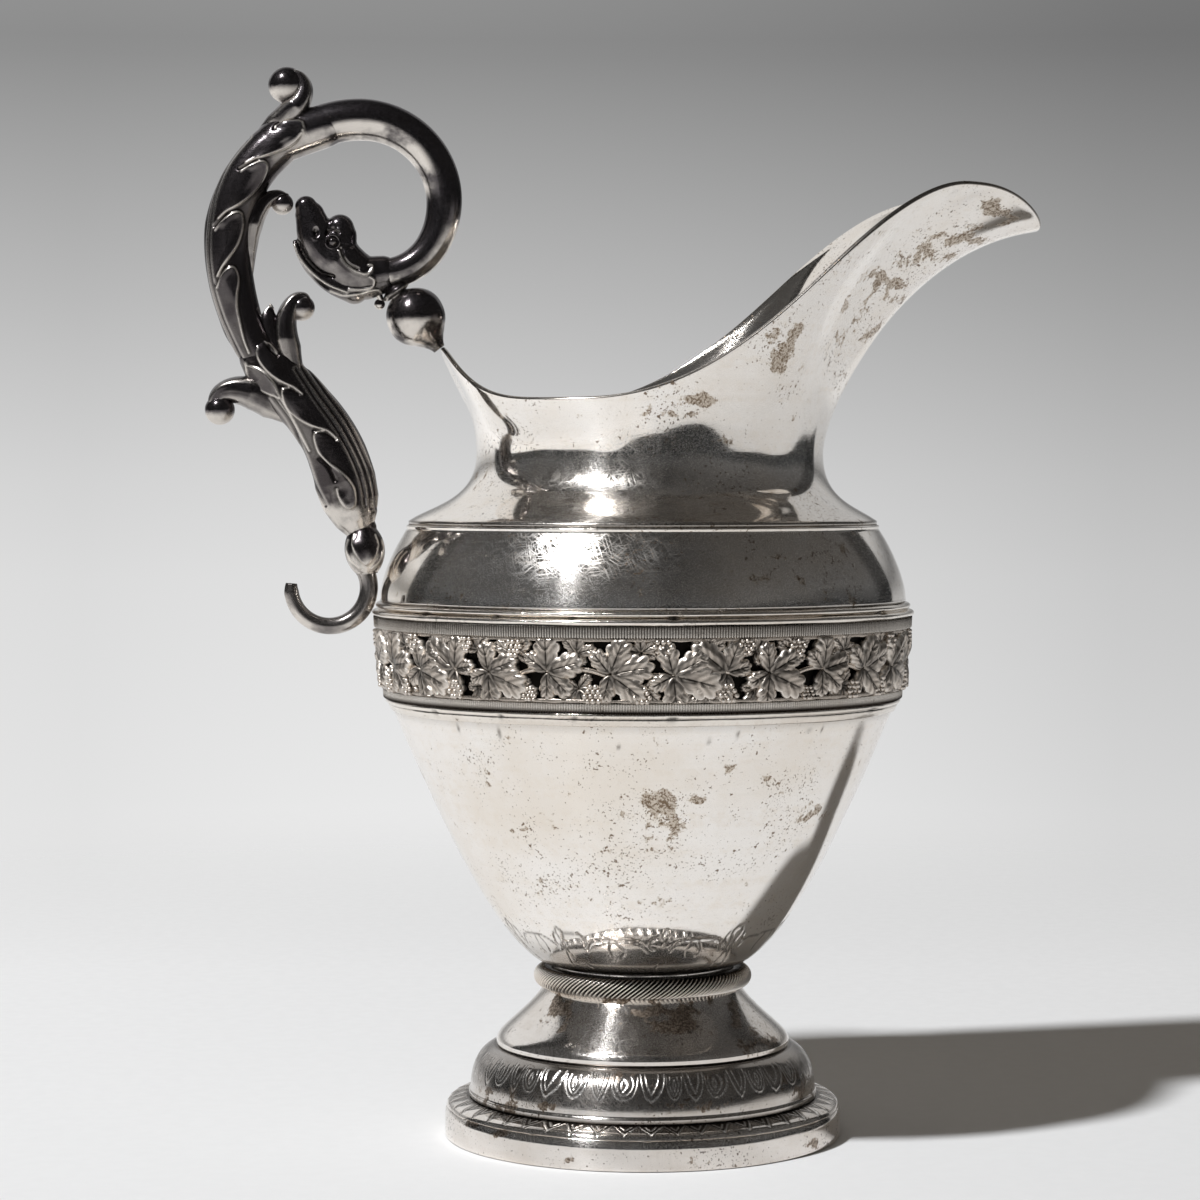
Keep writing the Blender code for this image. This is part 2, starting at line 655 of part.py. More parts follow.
tail_way = (tail_point(TAIL_START - 0.05) - tail_point(TAIL_START)).normalized()
knot_start = sheath_end + knot_way * GAP
knot_end = tail_point(TAIL_START) - tail_way * GAP
knot_neck = SHEET
knot_spots = [knot_start, knot_start + knot_way * knot_neck]
knot_spots += [knot_spots[1].lerp(knot_end - tail_way * knot_neck, share) for share in (0.3, 0.65, 1)]
knot_spots.append(knot_end)
knot_sizes = [KNOT_RADIUS * size for size in (0.66, 0.86, 1.0, 1.0, 0.74, 0.48)]
knot_run = [(spot.x, spot.y, size, size) for spot, size in zip(knot_spots, knot_sizes)]
loft("handle_knot", knot_run, HANDLE_SIDES, handle_silver)

tail_run = []
for i in range(TAIL_STEPS + 1):
    spot = tail_point(TAIL_START + (TAIL_END - TAIL_START) * i / TAIL_STEPS)
    half = TAIL_HALF + (TAIL_TIP_HALF - TAIL_HALF) * i / TAIL_STEPS
    tail_run.append((spot.x, spot.y, half, half))
tail = loft("handle_tail", tail_run, CURL_SIDES, handle_silver)
seat_reach = girdle_seat + UPPER_MOULDING_REACH + GAP
body_shape = lathe("body_clearance", [
    (0.0, upper_moulding_low - 2 * GAP),
    (seat_reach, upper_moulding_low - 2 * GAP),
    (seat_reach, upper_moulding_top + GAP),
    (shoulder_radius + GAP, upper_moulding_top + GAP),
    (shoulder_radius + GAP, shoulder_top),
    (0.0, shoulder_top),
], None)
join_shape(tail, body_shape, "DIFFERENCE")

# Leaf curls that end in beads, each fitted to the leaf that it grows from
def clearance(name, run):
    grown = [(x, z, breadth + GAP, depth + GAP) for x, z, breadth, depth in run]
    return loft(name, grown, HANDLE_SIDES, None)


stem_clearance = clearance("stem_clearance", stem_run)
sheath_clearance = clearance("sheath_clearance", sheath_run)
loop_clearance = clearance("loop_clearance", loop_run)


def curl_from(name, root, bead_radius, slimness, offsets):
    """A leaf end that runs out from inside the handle into a bead; offsets are in bead radii."""
    start = Vector(root[:2])
    spots = [start] + [start + bead_radius * Vector(offset) for offset in offsets]
    stalk = slimness * bead_radius
    stalk_run = path_through([(spot.x, spot.y, stalk, stalk) for spot in spots], 3)
    piece = loft(name, stalk_run, CURL_SIDES, handle_silver)
    join_shape(piece, ball(name + "_bead", spots[-1].x, spots[-1].y, bead_radius, None), "UNION")
    for tool in (stem_clearance, sheath_clearance, loop_clearance):
        join_shape(piece, tool, "DIFFERENCE")


curl_from("top_curl", stem_run[2], TOP_BEAD_RADIUS, 0.66, ((-0.49, 2.19), (-1.07, 3.15)))
curl_from("inner_curl", stem_run[10], INNER_BEAD_RADIUS, 0.68, ((2.95, -0.37), (4.21, -0.37)))
curl_from("middle_curl", sheath_run[2], MIDDLE_BEAD_RADIUS, 0.83,
          ((0.60, 3.36), (1.01, 4.74), (1.93, 5.32)))
curl_from("outer_curl", sheath_run[2], OUTER_BEAD_RADIUS, 0.65,
          ((-2.18, -0.93), (-3.33, -1.24), (-3.99, -2.36)))

# The jug's own axis is set off so that the origin lies under the middle of the whole part
bpy.context.view_layer.update()
graph = bpy.context.evaluated_depsgraph_get()
reach = [corner[0] for piece in bpy.data.objects if piece.type == "MESH" and not piece.hide_render
         for corner in piece.evaluated_get(graph).bound_box]
jug_axis.location.x = -(min(reach) + max(reach)) / 2
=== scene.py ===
"""Looks of the silver milk jug: its ornament, tarnish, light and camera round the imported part."""

import math
from collections import namedtuple
from functools import partial, reduce

import bpy
import numpy as np
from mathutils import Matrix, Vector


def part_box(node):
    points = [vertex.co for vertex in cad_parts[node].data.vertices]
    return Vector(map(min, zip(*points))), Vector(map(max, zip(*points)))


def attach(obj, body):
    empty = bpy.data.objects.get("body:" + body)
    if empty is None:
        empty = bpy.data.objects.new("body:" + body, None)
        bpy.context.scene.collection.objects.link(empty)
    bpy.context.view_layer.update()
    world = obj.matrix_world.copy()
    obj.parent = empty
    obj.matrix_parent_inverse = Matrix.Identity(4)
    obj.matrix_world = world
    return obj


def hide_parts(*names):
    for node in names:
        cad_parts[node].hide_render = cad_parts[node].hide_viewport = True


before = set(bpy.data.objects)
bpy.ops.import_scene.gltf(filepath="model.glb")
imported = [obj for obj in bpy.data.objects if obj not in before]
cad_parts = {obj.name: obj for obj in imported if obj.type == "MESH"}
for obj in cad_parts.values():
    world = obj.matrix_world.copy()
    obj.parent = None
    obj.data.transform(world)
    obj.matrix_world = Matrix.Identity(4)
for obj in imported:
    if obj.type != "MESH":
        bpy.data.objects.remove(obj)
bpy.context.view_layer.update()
plinth_low, plinth_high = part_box("foot_plinth")
AXIS_X = (plinth_low[0] + plinth_high[0]) / 2
SHEET = 0.9

# The photo's camera, in millimetres and in pixels of the 1200 pixel picture
MM_PER_PIXEL = 0.185
CAMERA_DISTANCE = 610.5
CAMERA_HEIGHT = 120.8
CAMERA_LENS = 99.0
PICTURE = 1200
PICTURE_MIDDLE = 600
HORIZON = 478
AXIS_OFFSET = 42.5
JUG_TURN = math.radians(5)
FORWARD = np.array((math.sin(JUG_TURN), math.cos(JUG_TURN), 0.0))
SIDEWAYS = np.array((math.cos(JUG_TURN), -math.sin(JUG_TURN), 0.0))

Shape = namedtuple("Shape", "points quads tris rub grime")
SILVERS = {}


# Meshes
def full_turn(count):
    return np.arange(count) / count * 2 * math.pi


def shape_of(points, quads, tris, rub, grime):
    """A closed surface in millimetres round the jug's axis, turned so that its faces look outward."""
    tris = np.array(tris, int).reshape(-1, 3)
    corners = np.vstack([quads[:, [0, 1, 2]], quads[:, [0, 2, 3]], tris])
    first, second, third = (points[corners[:, place]] for place in range(3))
    if np.einsum("ij,ij->", first, np.cross(second, third)) < 0:
        quads, tris = quads[:, ::-1], tris[:, ::-1]
    return Shape(points, quads, tris, rub, grime)


def grid(points, loop=False, capped=False, rub=0.0, grime=0.0):
    """Faces over rows and columns of points. The columns join round, and in a loop the rows do too."""
    rows, columns = points.shape[:2]
    row = np.arange(rows if loop else rows - 1)[:, None]
    up = (row + 1) % rows * columns
    row = row * columns
    column = np.arange(columns)
    side = (column + 1) % columns
    quads = np.stack([row + column, row + side, up + side, up + column], -1)
    flat = points.reshape(-1, 3)
    rub, grime = (np.broadcast_to(mark, (rows, columns)).ravel() for mark in (rub, grime))
    tris = ()
    if capped:
        middle, last = len(flat), (rows - 1) * columns
        tris = np.vstack([
            np.stack([np.full(columns, middle), side, column], -1),
            np.stack([np.full(columns, middle + 1), last + column, last + side], -1),
        ])
        flat = np.vstack([flat, points[0].mean(axis=0), points[-1].mean(axis=0)])
        rub, grime = (np.append(mark, (mark[0], mark[-1])) for mark in (rub, grime))
    return shape_of(flat, quads.reshape(-1, 4), tris, rub, grime)


def set_mark(mesh, name, values):
    mesh.attributes.new(name, "FLOAT", "POINT").data.foreach_set("value", np.asarray(values, np.float32))


def mesh_of(name, shapes):
    """One mesh from several surfaces, with the rubbed places and painted sheen, and the grimy places and
    painted shade, as point attributes.
    """
    points = np.vstack([shape.points for shape in shapes]) / 1000.0
    points[:, 0] += AXIS_X
    starts = np.cumsum([0] + [len(shape.points) for shape in shapes])
    quads = np.vstack([shape.quads + start for shape, start in zip(shapes, starts)])
    tris = np.vstack([shape.tris + start for shape, start in zip(shapes, starts)])
    mesh = bpy.data.meshes.new(name)
    mesh.vertices.add(len(points))
    mesh.vertices.foreach_set("co", points.ravel())
    corners = np.concatenate([quads.ravel(), tris.ravel()])
    mesh.loops.add(len(corners))
    mesh.loops.foreach_set("vertex_index", corners.astype(np.int32))
    begins = np.concatenate([np.arange(len(quads)) * 4, len(quads) * 4 + np.arange(len(tris)) * 3])
    mesh.polygons.add(len(begins))
    mesh.polygons.foreach_set("loop_start", begins.astype(np.int32))
    mesh.update(calc_edges=True)
    mesh.shade_smooth()
    for mark in ("rub", "grime"):
        set_mark(mesh, mark, np.concatenate([getattr(shape, mark) for shape in shapes]))
    return mesh


def normals_of(mesh):
    normals = np.empty(len(mesh.vertices) * 3)
    mesh.vertices.foreach_get("normal", normals)
    return normals.reshape(-1, 3)


def points_of(mesh):
    """The points of a mesh in millimetres round the jug's axis."""
    points = np.empty(len(mesh.vertices) * 3)
    mesh.vertices.foreach_get("co", points)
    points = points.reshape(-1, 3)
    points[:, 0] -= AXIS_X
    return points * 1000.0


# How strongly a reflection of the pale floor is painted on the handle's undersides, and the heights between
# which that goes to full
UNDERSIDE_REFLECTION = {
    "handle_stem": 0.12, "handle_sheath": 0.16, "beast_head": 0.30, "top_curl": 0.5, "inner_curl": 0.42,
    "middle_curl": 0.35, "outer_curl": 0.50,
}
UNDERSIDE_REFLECTION_FADE = {"handle_stem": (174.0, 187.0), "handle_sheath": (120.0, 114.0)}


def paint_underside_reflection(mesh, name):
    """Marks the places that look down, where a reflection of the pale floor is painted on the dark handle.
    """
    strength = UNDERSIDE_REFLECTION.get(name, 1.0)
    if name in UNDERSIDE_REFLECTION_FADE:
        strength = strength + (1 - strength) * ease(*UNDERSIDE_REFLECTION_FADE[name], points_of(mesh)[:, 2])
    set_mark(mesh, "underside_reflection", strength * ease(-0.02, -0.28, normals_of(mesh)[:, 2]))


def add_piece(name, shapes, slot, stains=()):
    """Shows a piece in place of the CAD node of the same name."""
    mesh = mesh_of(name + "_look", shapes)
    piece = bpy.data.objects.new(name + "_look", mesh)
    bpy.context.collection.objects.link(piece)
    mesh.materials.append(SILVERS[slot])
    if stains:
        mark_zones(mesh, "stain", stains)
        mark_zones(mesh, "scored", SCORED_ZONES)
    if slot == "handle_silver":
        paint_underside_reflection(mesh, name)
    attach(piece, "root")
    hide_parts(name)


# Where the silver is most scratched: right and down in the photo, half width, half height, strength
SCORED_ZONES = [
    (470, 565, 60, 50, 0.8), (560, 565, 80, 60, 1.0), (650, 560, 70, 50, 0.8), (740, 555, 60, 40, 0.5),
    (560, 480, 60, 50, 0.8), (620, 475, 56, 54, 1.0), (690, 480, 60, 40, 0.6),
    (610, 1040, 44, 30, 0.9), (570, 1100, 70, 14, 0.8), (600, 1132, 60, 6, 0.6),
]


def to_picture(points):
    """Where points in millimetres round the jug's axis are seen in the photo, in its pixels."""
    across = points @ SIDEWAYS / MM_PER_PIXEL
    scale = CAMERA_DISTANCE / (CAMERA_DISTANCE + points @ FORWARD)
    right = PICTURE_MIDDLE + (across + AXIS_OFFSET) * scale
    down = HORIZON - (points[:, 2] - CAMERA_HEIGHT) / MM_PER_PIXEL * scale
    return np.stack([right, down], -1)


def from_picture(spots, depth):
    """The places, depth millimetres in front of the jug's middle plane, that are seen at the spots."""
    spots = np.asarray(spots, float)
    x = np.zeros(len(spots))
    for _ in range(4):
        scale = CAMERA_DISTANCE / (CAMERA_DISTANCE + x * FORWARD[0] - depth * FORWARD[1])
        across = ((spots[:, 0] - PICTURE_MIDDLE) / scale - AXIS_OFFSET) * MM_PER_PIXEL
        x = (across + depth * SIDEWAYS[1]) / SIDEWAYS[0]
    z = CAMERA_HEIGHT + (HORIZON - spots[:, 1]) / scale * MM_PER_PIXEL
    return np.stack([x, z], -1)


def mark_zones(mesh, name, zones):
    """Soft marks on the side towards the photo's camera, and the same ones mirrored on the far side."""
    points, normals = points_of(mesh), normals_of(mesh)
    mark = np.zeros(len(points))
    for mirror in ((1.0, 1.0, 1.0), (1.0, -1.0, 1.0)):
        right, down = to_picture(points * mirror).T
        facing = np.clip(-(normals * mirror) @ FORWARD * 3, 0, 1)
        for middle, level, wide, tall, strength in zones:
            away = ((right - middle) / wide) ** 2 + ((down - level) / tall) ** 2
            mark = np.maximum(mark, strength * np.exp(-away) * facing)
    set_mark(mesh, name, mark)


def smooth_line(spots, steps=10):
    """A smooth curve through the spots."""
    spots = np.asarray(spots, float)
    padded = np.vstack([2 * spots[0] - spots[1], spots, 2 * spots[-1] - spots[-2]])
    share = np.linspace(0, 1, steps, endpoint=False)[:, None]
    runs = []
    for before, start, end, after in zip(padded, padded[1:], padded[2:], padded[3:]):
        pull = (end - before) / 2
        push = (after - start) / 2
        cubic = 2 * start - 2 * end + pull + push
        square = -3 * start + 3 * end - 2 * pull - push
        runs.append(((cubic * share + square) * share + pull) * share + start)
    return np.vstack(runs + [spots[-1:]])


def line_distance(points, line):
    """How far each flat point is from a curve given by close points."""
    best = np.full(len(points), 1e9)
    for start, end in zip(line, line[1:]):
        way = end - start
        length = max(way @ way, 1e-12)
        share = np.clip((points - start) @ way / length, 0, 1)
        gap = points - start - share[:, None] * way
        best = np.minimum(best, np.einsum("ij,ij->i", gap, gap))
    return np.sqrt(best)


def ease(low, high, value):
    share = np.clip((value - low) / (high - low), 0, 1)
    return share * share * (3 - 2 * share)


def bump(distance, width):
    return np.exp(-(distance / width) ** 2)


# Profiles that are turned round the axis
def section(corners):
    """A closed profile. A corner has a radius, a height, a rounding and the spacing of the run after it."""
    made = []
    count = len(corners)
    for index, (radius, height, rounding, spacing) in enumerate(corners):
        here = np.array((radius, height))
        before = np.array(corners[index - 1][:2])
        after = np.array(corners[(index + 1) % count][:2])
        into = (here - before) / np.linalg.norm(here - before)
        onward = (after - here) / np.linalg.norm(after - here)
        leave = here + rounding * onward
        if rounding:
            enter = here - rounding * into
            for share in np.linspace(0, 1, 6):
                bend = 2 * share * (1 - share) * here
                made.append((1 - share) ** 2 * enter + bend + share * share * leave)
        else:
            made.append(here)
        goal = after - corners[(index + 1) % count][2] * onward
        pieces = max(int(np.linalg.norm(goal - leave) / spacing), 1)
        for step in range(1, pieces):
            made.append(leave + (goal - leave) * step / pieces)
    return np.array(made)


def run_corners(points, spacing=99.0):
    return [(radius, height, 0.0, spacing) for radius, height in points]


def turned(profile, columns, relief):
    """The closed profile turned round the axis. The relief gives each point's rise, its rub with any painted
    sheen, and its grime with any painted shade.
    """
    tangent = np.roll(profile, -1, axis=0) - np.roll(profile, 1, axis=0)
    tangent /= np.linalg.norm(tangent, axis=1)[:, None]
    angle = full_turn(columns)
    rise, rub, grime = relief(profile, np.broadcast_to(angle, (len(profile), columns)))
    radius = profile[:, :1] + rise * tangent[:, 1:]
    height = profile[:, 1:] - rise * tangent[:, :1]
    points = np.stack([radius * np.cos(angle), radius * np.sin(angle), height + 0 * angle], -1)
    return grid(points, loop=True, rub=rub, grime=grime)


def wobble(height, angle, size):
    """The slight unevenness of hand-raised sheet, in millimetres."""
    return size * (
        0.5 * np.sin(2 * angle + 0.07 * height)
        + 0.3 * np.sin(5 * angle - 0.11 * height + 1.3)
        + 0.25 * np.sin(9 * angle + 0.23 * height + 0.4)
        + 0.2 * np.sin(3 * angle + 0.41 * height)
    )


def engraved(across, along, lines, repeats_mm, height_mm, width, depth):
    """Bright cut lines with grime beside them. Across is 0 to 1 over a repeat, and along over the band."""
    flat = np.stack([across.ravel() * repeats_mm, along.ravel() * height_mm], -1)
    rise = np.zeros(len(flat))
    grime = np.zeros(len(flat))
    rub = np.zeros(len(flat))
    for line in lines:
        curve = smooth_line(np.array(line) * (repeats_mm, height_mm), 6)
        for shift in (-1, 0, 1):
            away = line_distance(flat, curve + (shift * repeats_mm, 0))
            rise = np.minimum(rise, -depth * bump(away, width))
            rub = np.maximum(rub, bump(away - 0.6 * width, width))
            grime = np.maximum(grime, bump(away - 2.4 * width, 1.2 * width))
    return [part.reshape(across.shape) for part in (rise, rub, grime * (1 - rub))]


def tiled(profile, columns, repeats, band, lines, width, depth, height_mm, radius):
    """Relief of engraved repeats on the rows of the profile where the band share lies between 0 and 1."""
    each = columns // repeats
    across = np.broadcast_to(np.arange(each) / each, (len(profile), each))
    along = np.broadcast_to(band[:, None], across.shape)
    rise, rub, grime = np.zeros(across.shape), np.zeros(across.shape), np.zeros(across.shape)
    rows = np.flatnonzero((band > -0.2) & (band < 1.2))
    girth = 2 * math.pi * radius / repeats
    parts = engraved(across[rows], along[rows], lines, girth, height_mm, width, depth)
    for whole, part in zip((rise, rub, grime), parts):
        whole[rows] = part
    pressed = 0.75 + 0.25 * np.sin(np.arange(repeats) * 2.4) * np.cos(np.arange(repeats) * 0.9)
    pressed = np.repeat(pressed, each)
    turn = full_turn(columns)
    drift = each * (0.07 * np.sin(5 * turn + 0.7) + 0.05 * np.sin(13 * turn) + 0.03 * np.sin(31 * turn + 2))
    drifted = (np.arange(columns) + drift.astype(int)) % columns
    return [(np.tile(part, (1, repeats)) * pressed)[:, drifted] for part in (rise, rub, grime)]


# Surfaces
SCRATCH_TURNS = (0.12, 0.75, -0.55, -1.15)
SCRATCH_SIZE = (0.0045, 0.00009, 1.0)
UNROLL_RADIUS = 0.045
DENT_DEPTH = 0.0004


def fill(tree, socket, value):
    """Sets an input to a value, or joins it to another node's output."""
    if isinstance(value, bpy.types.NodeSocket):
        tree.links.new(value, socket)
    else:
        socket.default_value = value


def node(tree, kind, *values, **named):
    """A shader node. Values fill its inputs in their order; named ones are inputs or settings."""
    made = tree.nodes.new("ShaderNode" + kind)
    for key, value in named.items():
        if key in made.inputs:
            fill(tree, made.inputs[key], value)
        else:
            setattr(made, key, value)
    for socket, value in zip(made.inputs, values):
        fill(tree, socket, value)
    return made


def soft_step(tree, value, low, high):
    """Goes smoothly from 0 to 1 while the value goes from low to high."""
    return node(tree, "MapRange", value, low, high, interpolation_type="SMOOTHSTEP").outputs["Result"]


def noise_of(tree, place, scale, detail, roughness):
    return node(tree, "TexNoise", place, Scale=scale, Detail=detail, Roughness=roughness).outputs["Fac"]


def noise_mask(tree, place, scale, low, high, detail=4.0, roughness=0.55, stretch=None):
    """A soft-edged mask from noise that is 1 where the noise is above high."""
    if stretch:
        place = node(tree, "Mapping", place, Scale=stretch).outputs["Vector"]
    return soft_step(tree, noise_of(tree, place, scale, detail, roughness), low, high)


def combine(tree, operation, first, second):
    return node(tree, "Math", first, second, operation=operation, use_clamp=True).outputs[0]


def tint(tree, factor, first, second, blend="MIX"):
    """A colour that goes from the first to the second with the factor."""
    made = node(tree, "Mix", data_type="RGBA", blend_type=blend)
    for place, value in zip((0, 6, 7), (factor, first, second)):
        fill(tree, made.inputs[place], (*value, 1.0) if isinstance(value, tuple) else value)
    return made.outputs[2]


def unrolled(tree, place):
    """Places on the jug's surface laid flat: round the axis and up."""
    parts = node(tree, "SeparateXYZ", place).outputs
    beside = node(tree, "Math", parts["X"], AXIS_X, operation="SUBTRACT").outputs[0]
    turn = node(tree, "Math", parts["Y"], beside, operation="ARCTAN2").outputs[0]
    girth = node(tree, "Math", turn, UNROLL_RADIUS, operation="MULTIPLY").outputs[0]
    return node(tree, "CombineXYZ", girth, parts["Z"]).outputs["Vector"]


def crisp_patches(tree, noise, mark, pull, low, high):
    """Sharp-edged patches of noise that gather where the mark is strong."""
    pulled = node(tree, "Math", mark, pull, noise, operation="MULTIPLY_ADD").outputs[0]
    return soft_step(tree, pulled, low, high)


def scratch_lines(tree, flat, turn, mark):
    """Short fine streaks in one direction, left by polishing, closer together where the mark is strong."""
    mapping = node(
        tree, "Mapping", flat, vector_type="TEXTURE", Rotation=(0.0, 0.0, turn), Scale=SCRATCH_SIZE)
    noise = node(tree, "TexNoise", mapping.outputs["Vector"], noise_dimensions="2D", Scale=1.0, Detail=0.0)
    return crisp_patches(tree, noise.outputs["Fac"], mark, 0.02, 0.72, 0.76)


def silver(name, clean, haze, film_tone, spot_tone, rub_and_sheen_tone, grime_and_shade_tone, rough, spots, grain, lathe, wear,
           film_share, scored):
    """Old silver: haze in clouds, gritty tarnish, scratches, bright rubbed edges and painted sheen, grimy
    recesses and painted shade, and a painted floor reflection on undersides.
    """
    surface = bpy.data.materials.new(name)
    surface.use_nodes = True
    tree = surface.node_tree
    times, plus, most = (partial(combine, tree, operation) for operation in ("MULTIPLY", "ADD", "MAXIMUM"))
    place = node(tree, "TexCoord").outputs["Object"]
    mask, noise = partial(noise_mask, tree, place), partial(noise_of, tree, place)
    patches = partial(crisp_patches, tree)
    stain, scuffed, rub, grime, underside_reflection = (
        node(tree, "Attribute", attribute_name=mark).outputs["Fac"]
        for mark in ("stain", "scored", "rub", "grime", "underside_reflection"))
    cloud = mask(30.0, 0.40, 0.68, 6.0, 0.6)
    mottle = mask(420.0, 0.42, 0.64, 8.0, 0.75)
    film = patches(noise(230.0, 7.0, 0.68), stain, 0.24, 0.650, 0.690)
    grit = patches(noise(2300.0, 4.0, 0.75), film, 0.20, 0.690, 0.740)
    cluster = most(times(mask(75.0, 0.44, 0.62, 5.0, 0.6), 0.70), stain)
    speck = patches(noise(760.0, 3.0, 0.6), cluster, 0.122, 0.725, 0.750)
    fleck = patches(noise(2300.0, 2.0, 0.6), cluster, 0.128, 0.700, 0.730)
    brush = mask(14.0, 0.35, 0.68, 6.0, 0.65, stretch=(1.0, 1.0, 46.0))
    flat = unrolled(tree, place)
    streak = reduce(most, [scratch_lines(tree, flat, turn, scuffed) for turn in SCRATCH_TURNS])
    polish = mask(18000.0, 0.65, 0.69, 0.0)
    spot = times(most(speck, most(fleck, grit)), spots)
    colour = tint(tree, times(cloud, 0.62), clean, haze)
    for factor, tone in (
        (times(times(mottle, brush), 0.55), haze), (times(film, film_share), film_tone), (spot, spot_tone),
        # Rubbed edges with painted sheen, and grime with painted shade
        (times(rub, 0.9), rub_and_sheen_tone), (grime, grime_and_shade_tone),
        # A painted reflection of the pale floor on the handle's undersides
        (times(times(underside_reflection, mask(160.0, 0.34, 0.58, 6.0)), 0.8), rub_and_sheen_tone),
    ):
        colour = tint(tree, factor, colour, tone)
    worn = reduce(plus, [
        times(cloud, 0.012), times(brush, 0.008), times(most(film, spot), 0.20), times(grime, 0.2),
        times(rub, 0.28), times(streak, plus(times(scuffed, 0.24), 0.03)), times(polish, wear), rough,
    ])
    height = reduce(plus, [times(brush, 0.25), times(streak, 0.12), times(cloud, 0.5)])
    dents = node(tree, "Bump", Strength=grain, Distance=DENT_DEPTH, Height=height).outputs["Normal"]
    cuts = node(tree, "Bump", Strength=scored, Distance=DENT_DEPTH, Height=streak, Normal=dents)
    finish = {"Metallic": 1.0, "Base Color": colour, "Roughness": worn, "Normal": cuts.outputs["Normal"]}
    if lathe:
        tangent = node(tree, "Tangent", direction_type="RADIAL", axis="Z").outputs["Tangent"]
        finish.update({
            "Anisotropic": times(polish, lathe), "Anisotropic Rotation": 0.25, "Tangent": tangent})
    for socket, value in finish.items():
        fill(tree, tree.nodes["Principled BSDF"].inputs[socket], value)
    SILVERS[name] = surface


silver("body_silver", clean=(0.985, 0.945, 0.90), haze=(0.87, 0.785, 0.68), film_tone=(0.52, 0.42, 0.31),
       spot_tone=(0.17, 0.11, 0.065), rub_and_sheen_tone=(0.95, 0.92, 0.88), grime_and_shade_tone=(0.10, 0.08, 0.062),
       rough=0.016, spots=0.9, grain=0.015, lathe=1.0, wear=0.25, film_share=0.64, scored=0.006)
silver("foot_silver", clean=(0.90, 0.855, 0.81), haze=(0.70, 0.625, 0.545), film_tone=(0.34, 0.26, 0.19),
       spot_tone=(0.11, 0.08, 0.058), rub_and_sheen_tone=(0.97, 0.95, 0.92), grime_and_shade_tone=(0.06, 0.044, 0.032),
       rough=0.034, spots=0.9, grain=0.03, lathe=1.0, wear=0.25, film_share=0.80, scored=0.006)
silver("trim_silver", clean=(0.91, 0.855, 0.785), haze=(0.70, 0.615, 0.525), film_tone=(0.34, 0.27, 0.20),
       spot_tone=(0.10, 0.08, 0.06), rub_and_sheen_tone=(0.95, 0.90, 0.84), grime_and_shade_tone=(0.028, 0.021, 0.016),
       rough=0.08, spots=0.5, grain=0.08, lathe=0.0, wear=0.20, film_share=0.40, scored=0.05)
silver("vine_silver", clean=(0.62, 0.55, 0.48), haze=(0.42, 0.355, 0.30), film_tone=(0.20, 0.16, 0.13),
       spot_tone=(0.10, 0.08, 0.06), rub_and_sheen_tone=(0.94, 0.88, 0.81), grime_and_shade_tone=(0.008, 0.007, 0.006),
       rough=0.22, spots=0.3, grain=0.08, lathe=0.0, wear=0.20, film_share=0.40, scored=0.05)
silver("handle_silver", clean=(0.094, 0.085, 0.090), haze=(0.072, 0.061, 0.059),
       film_tone=(0.07, 0.055, 0.048), spot_tone=(0.03, 0.024, 0.02), rub_and_sheen_tone=(0.90, 0.84, 0.77),
       grime_and_shade_tone=(0.012, 0.009, 0.008), rough=0.14, spots=0.3, grain=0.05, lathe=0.0, wear=0.42,
       film_share=0.40, scored=0.02)


# Foot, from the table up
FOOT_STAINS = [
    (700, 1010, 40, 16, 0.8), (760, 1040, 40, 16, 0.7), (560, 1015, 16, 30, 0.8), (640, 1000, 60, 8, 0.7),
    (620, 1080, 60, 14, 0.4), (800, 1090, 26, 20, 0.7), (500, 1105, 30, 18, 0.7),
    (812, 1144, 9, 7, 1.0), (720, 1105, 50, 8, 0.6), (680, 1026, 46, 12, 1.0), (650, 1012, 30, 7, 1.0),
    (556, 1002, 8, 26, 1.0), (736, 1020, 7, 24, 1.0), (478, 1124, 16, 6, 1.0), (500, 1134, 14, 5, 0.9),
    (492, 1090, 14, 7, 1.0), (538, 1106, 16, 6, 1.0), (790, 1078, 12, 14, 0.9), (590, 1160, 70, 7, 0.40),
    (710, 1162, 70, 8, 0.42), (650, 1140, 60, 4, 0.55),
]


def plinth_relief(profile, angle):
    height = profile[:, 1:]
    rise = wobble(height, angle, 0.05)
    nicks = ease(0.93, 1.0, np.sin(17 * angle + 2 * np.sin(5 * angle))) * bump(height - 5.3, 0.25)
    film = 0.10 + 0.05 * np.sin(3 * angle + 0.4) + 0.04 * np.sin(11 * angle + 0.8 * height)
    return rise - 0.12 * nicks, 0 * rise, np.maximum(film, 0.6 * nicks)


plinth_fall = np.linspace(0, 1, 12)
plinth_edge = np.stack([36.5 - 0.42 * plinth_fall ** 2.2, 3.5 + 1.8 * plinth_fall], -1)
add_piece("foot_plinth", [turned(section([
    (36.5, 0.0, 0.25, 0.5), *run_corners(plinth_edge), (35.95, 5.42, 0.08, 0.5), (35.0, 5.42, 0.2, 0.8),
    (35.0, 0.0, 0.2, 0.5),
]), 480, plinth_relief)], "foot_silver", FOOT_STAINS)

FLANGE_REPEATS = 48
FLANGE_COLUMNS = FLANGE_REPEATS * 28
FLANGE_LINES = [
    [(0.02, 0.98), (0.20, 0.64), (0.36, 0.34), (0.50, 0.10)],
    [(0.50, 0.10), (0.64, 0.34), (0.80, 0.64), (0.98, 0.98)],
    [(0.30, 0.90), (0.42, 0.66), (0.50, 0.50), (0.58, 0.66), (0.70, 0.90)],
]


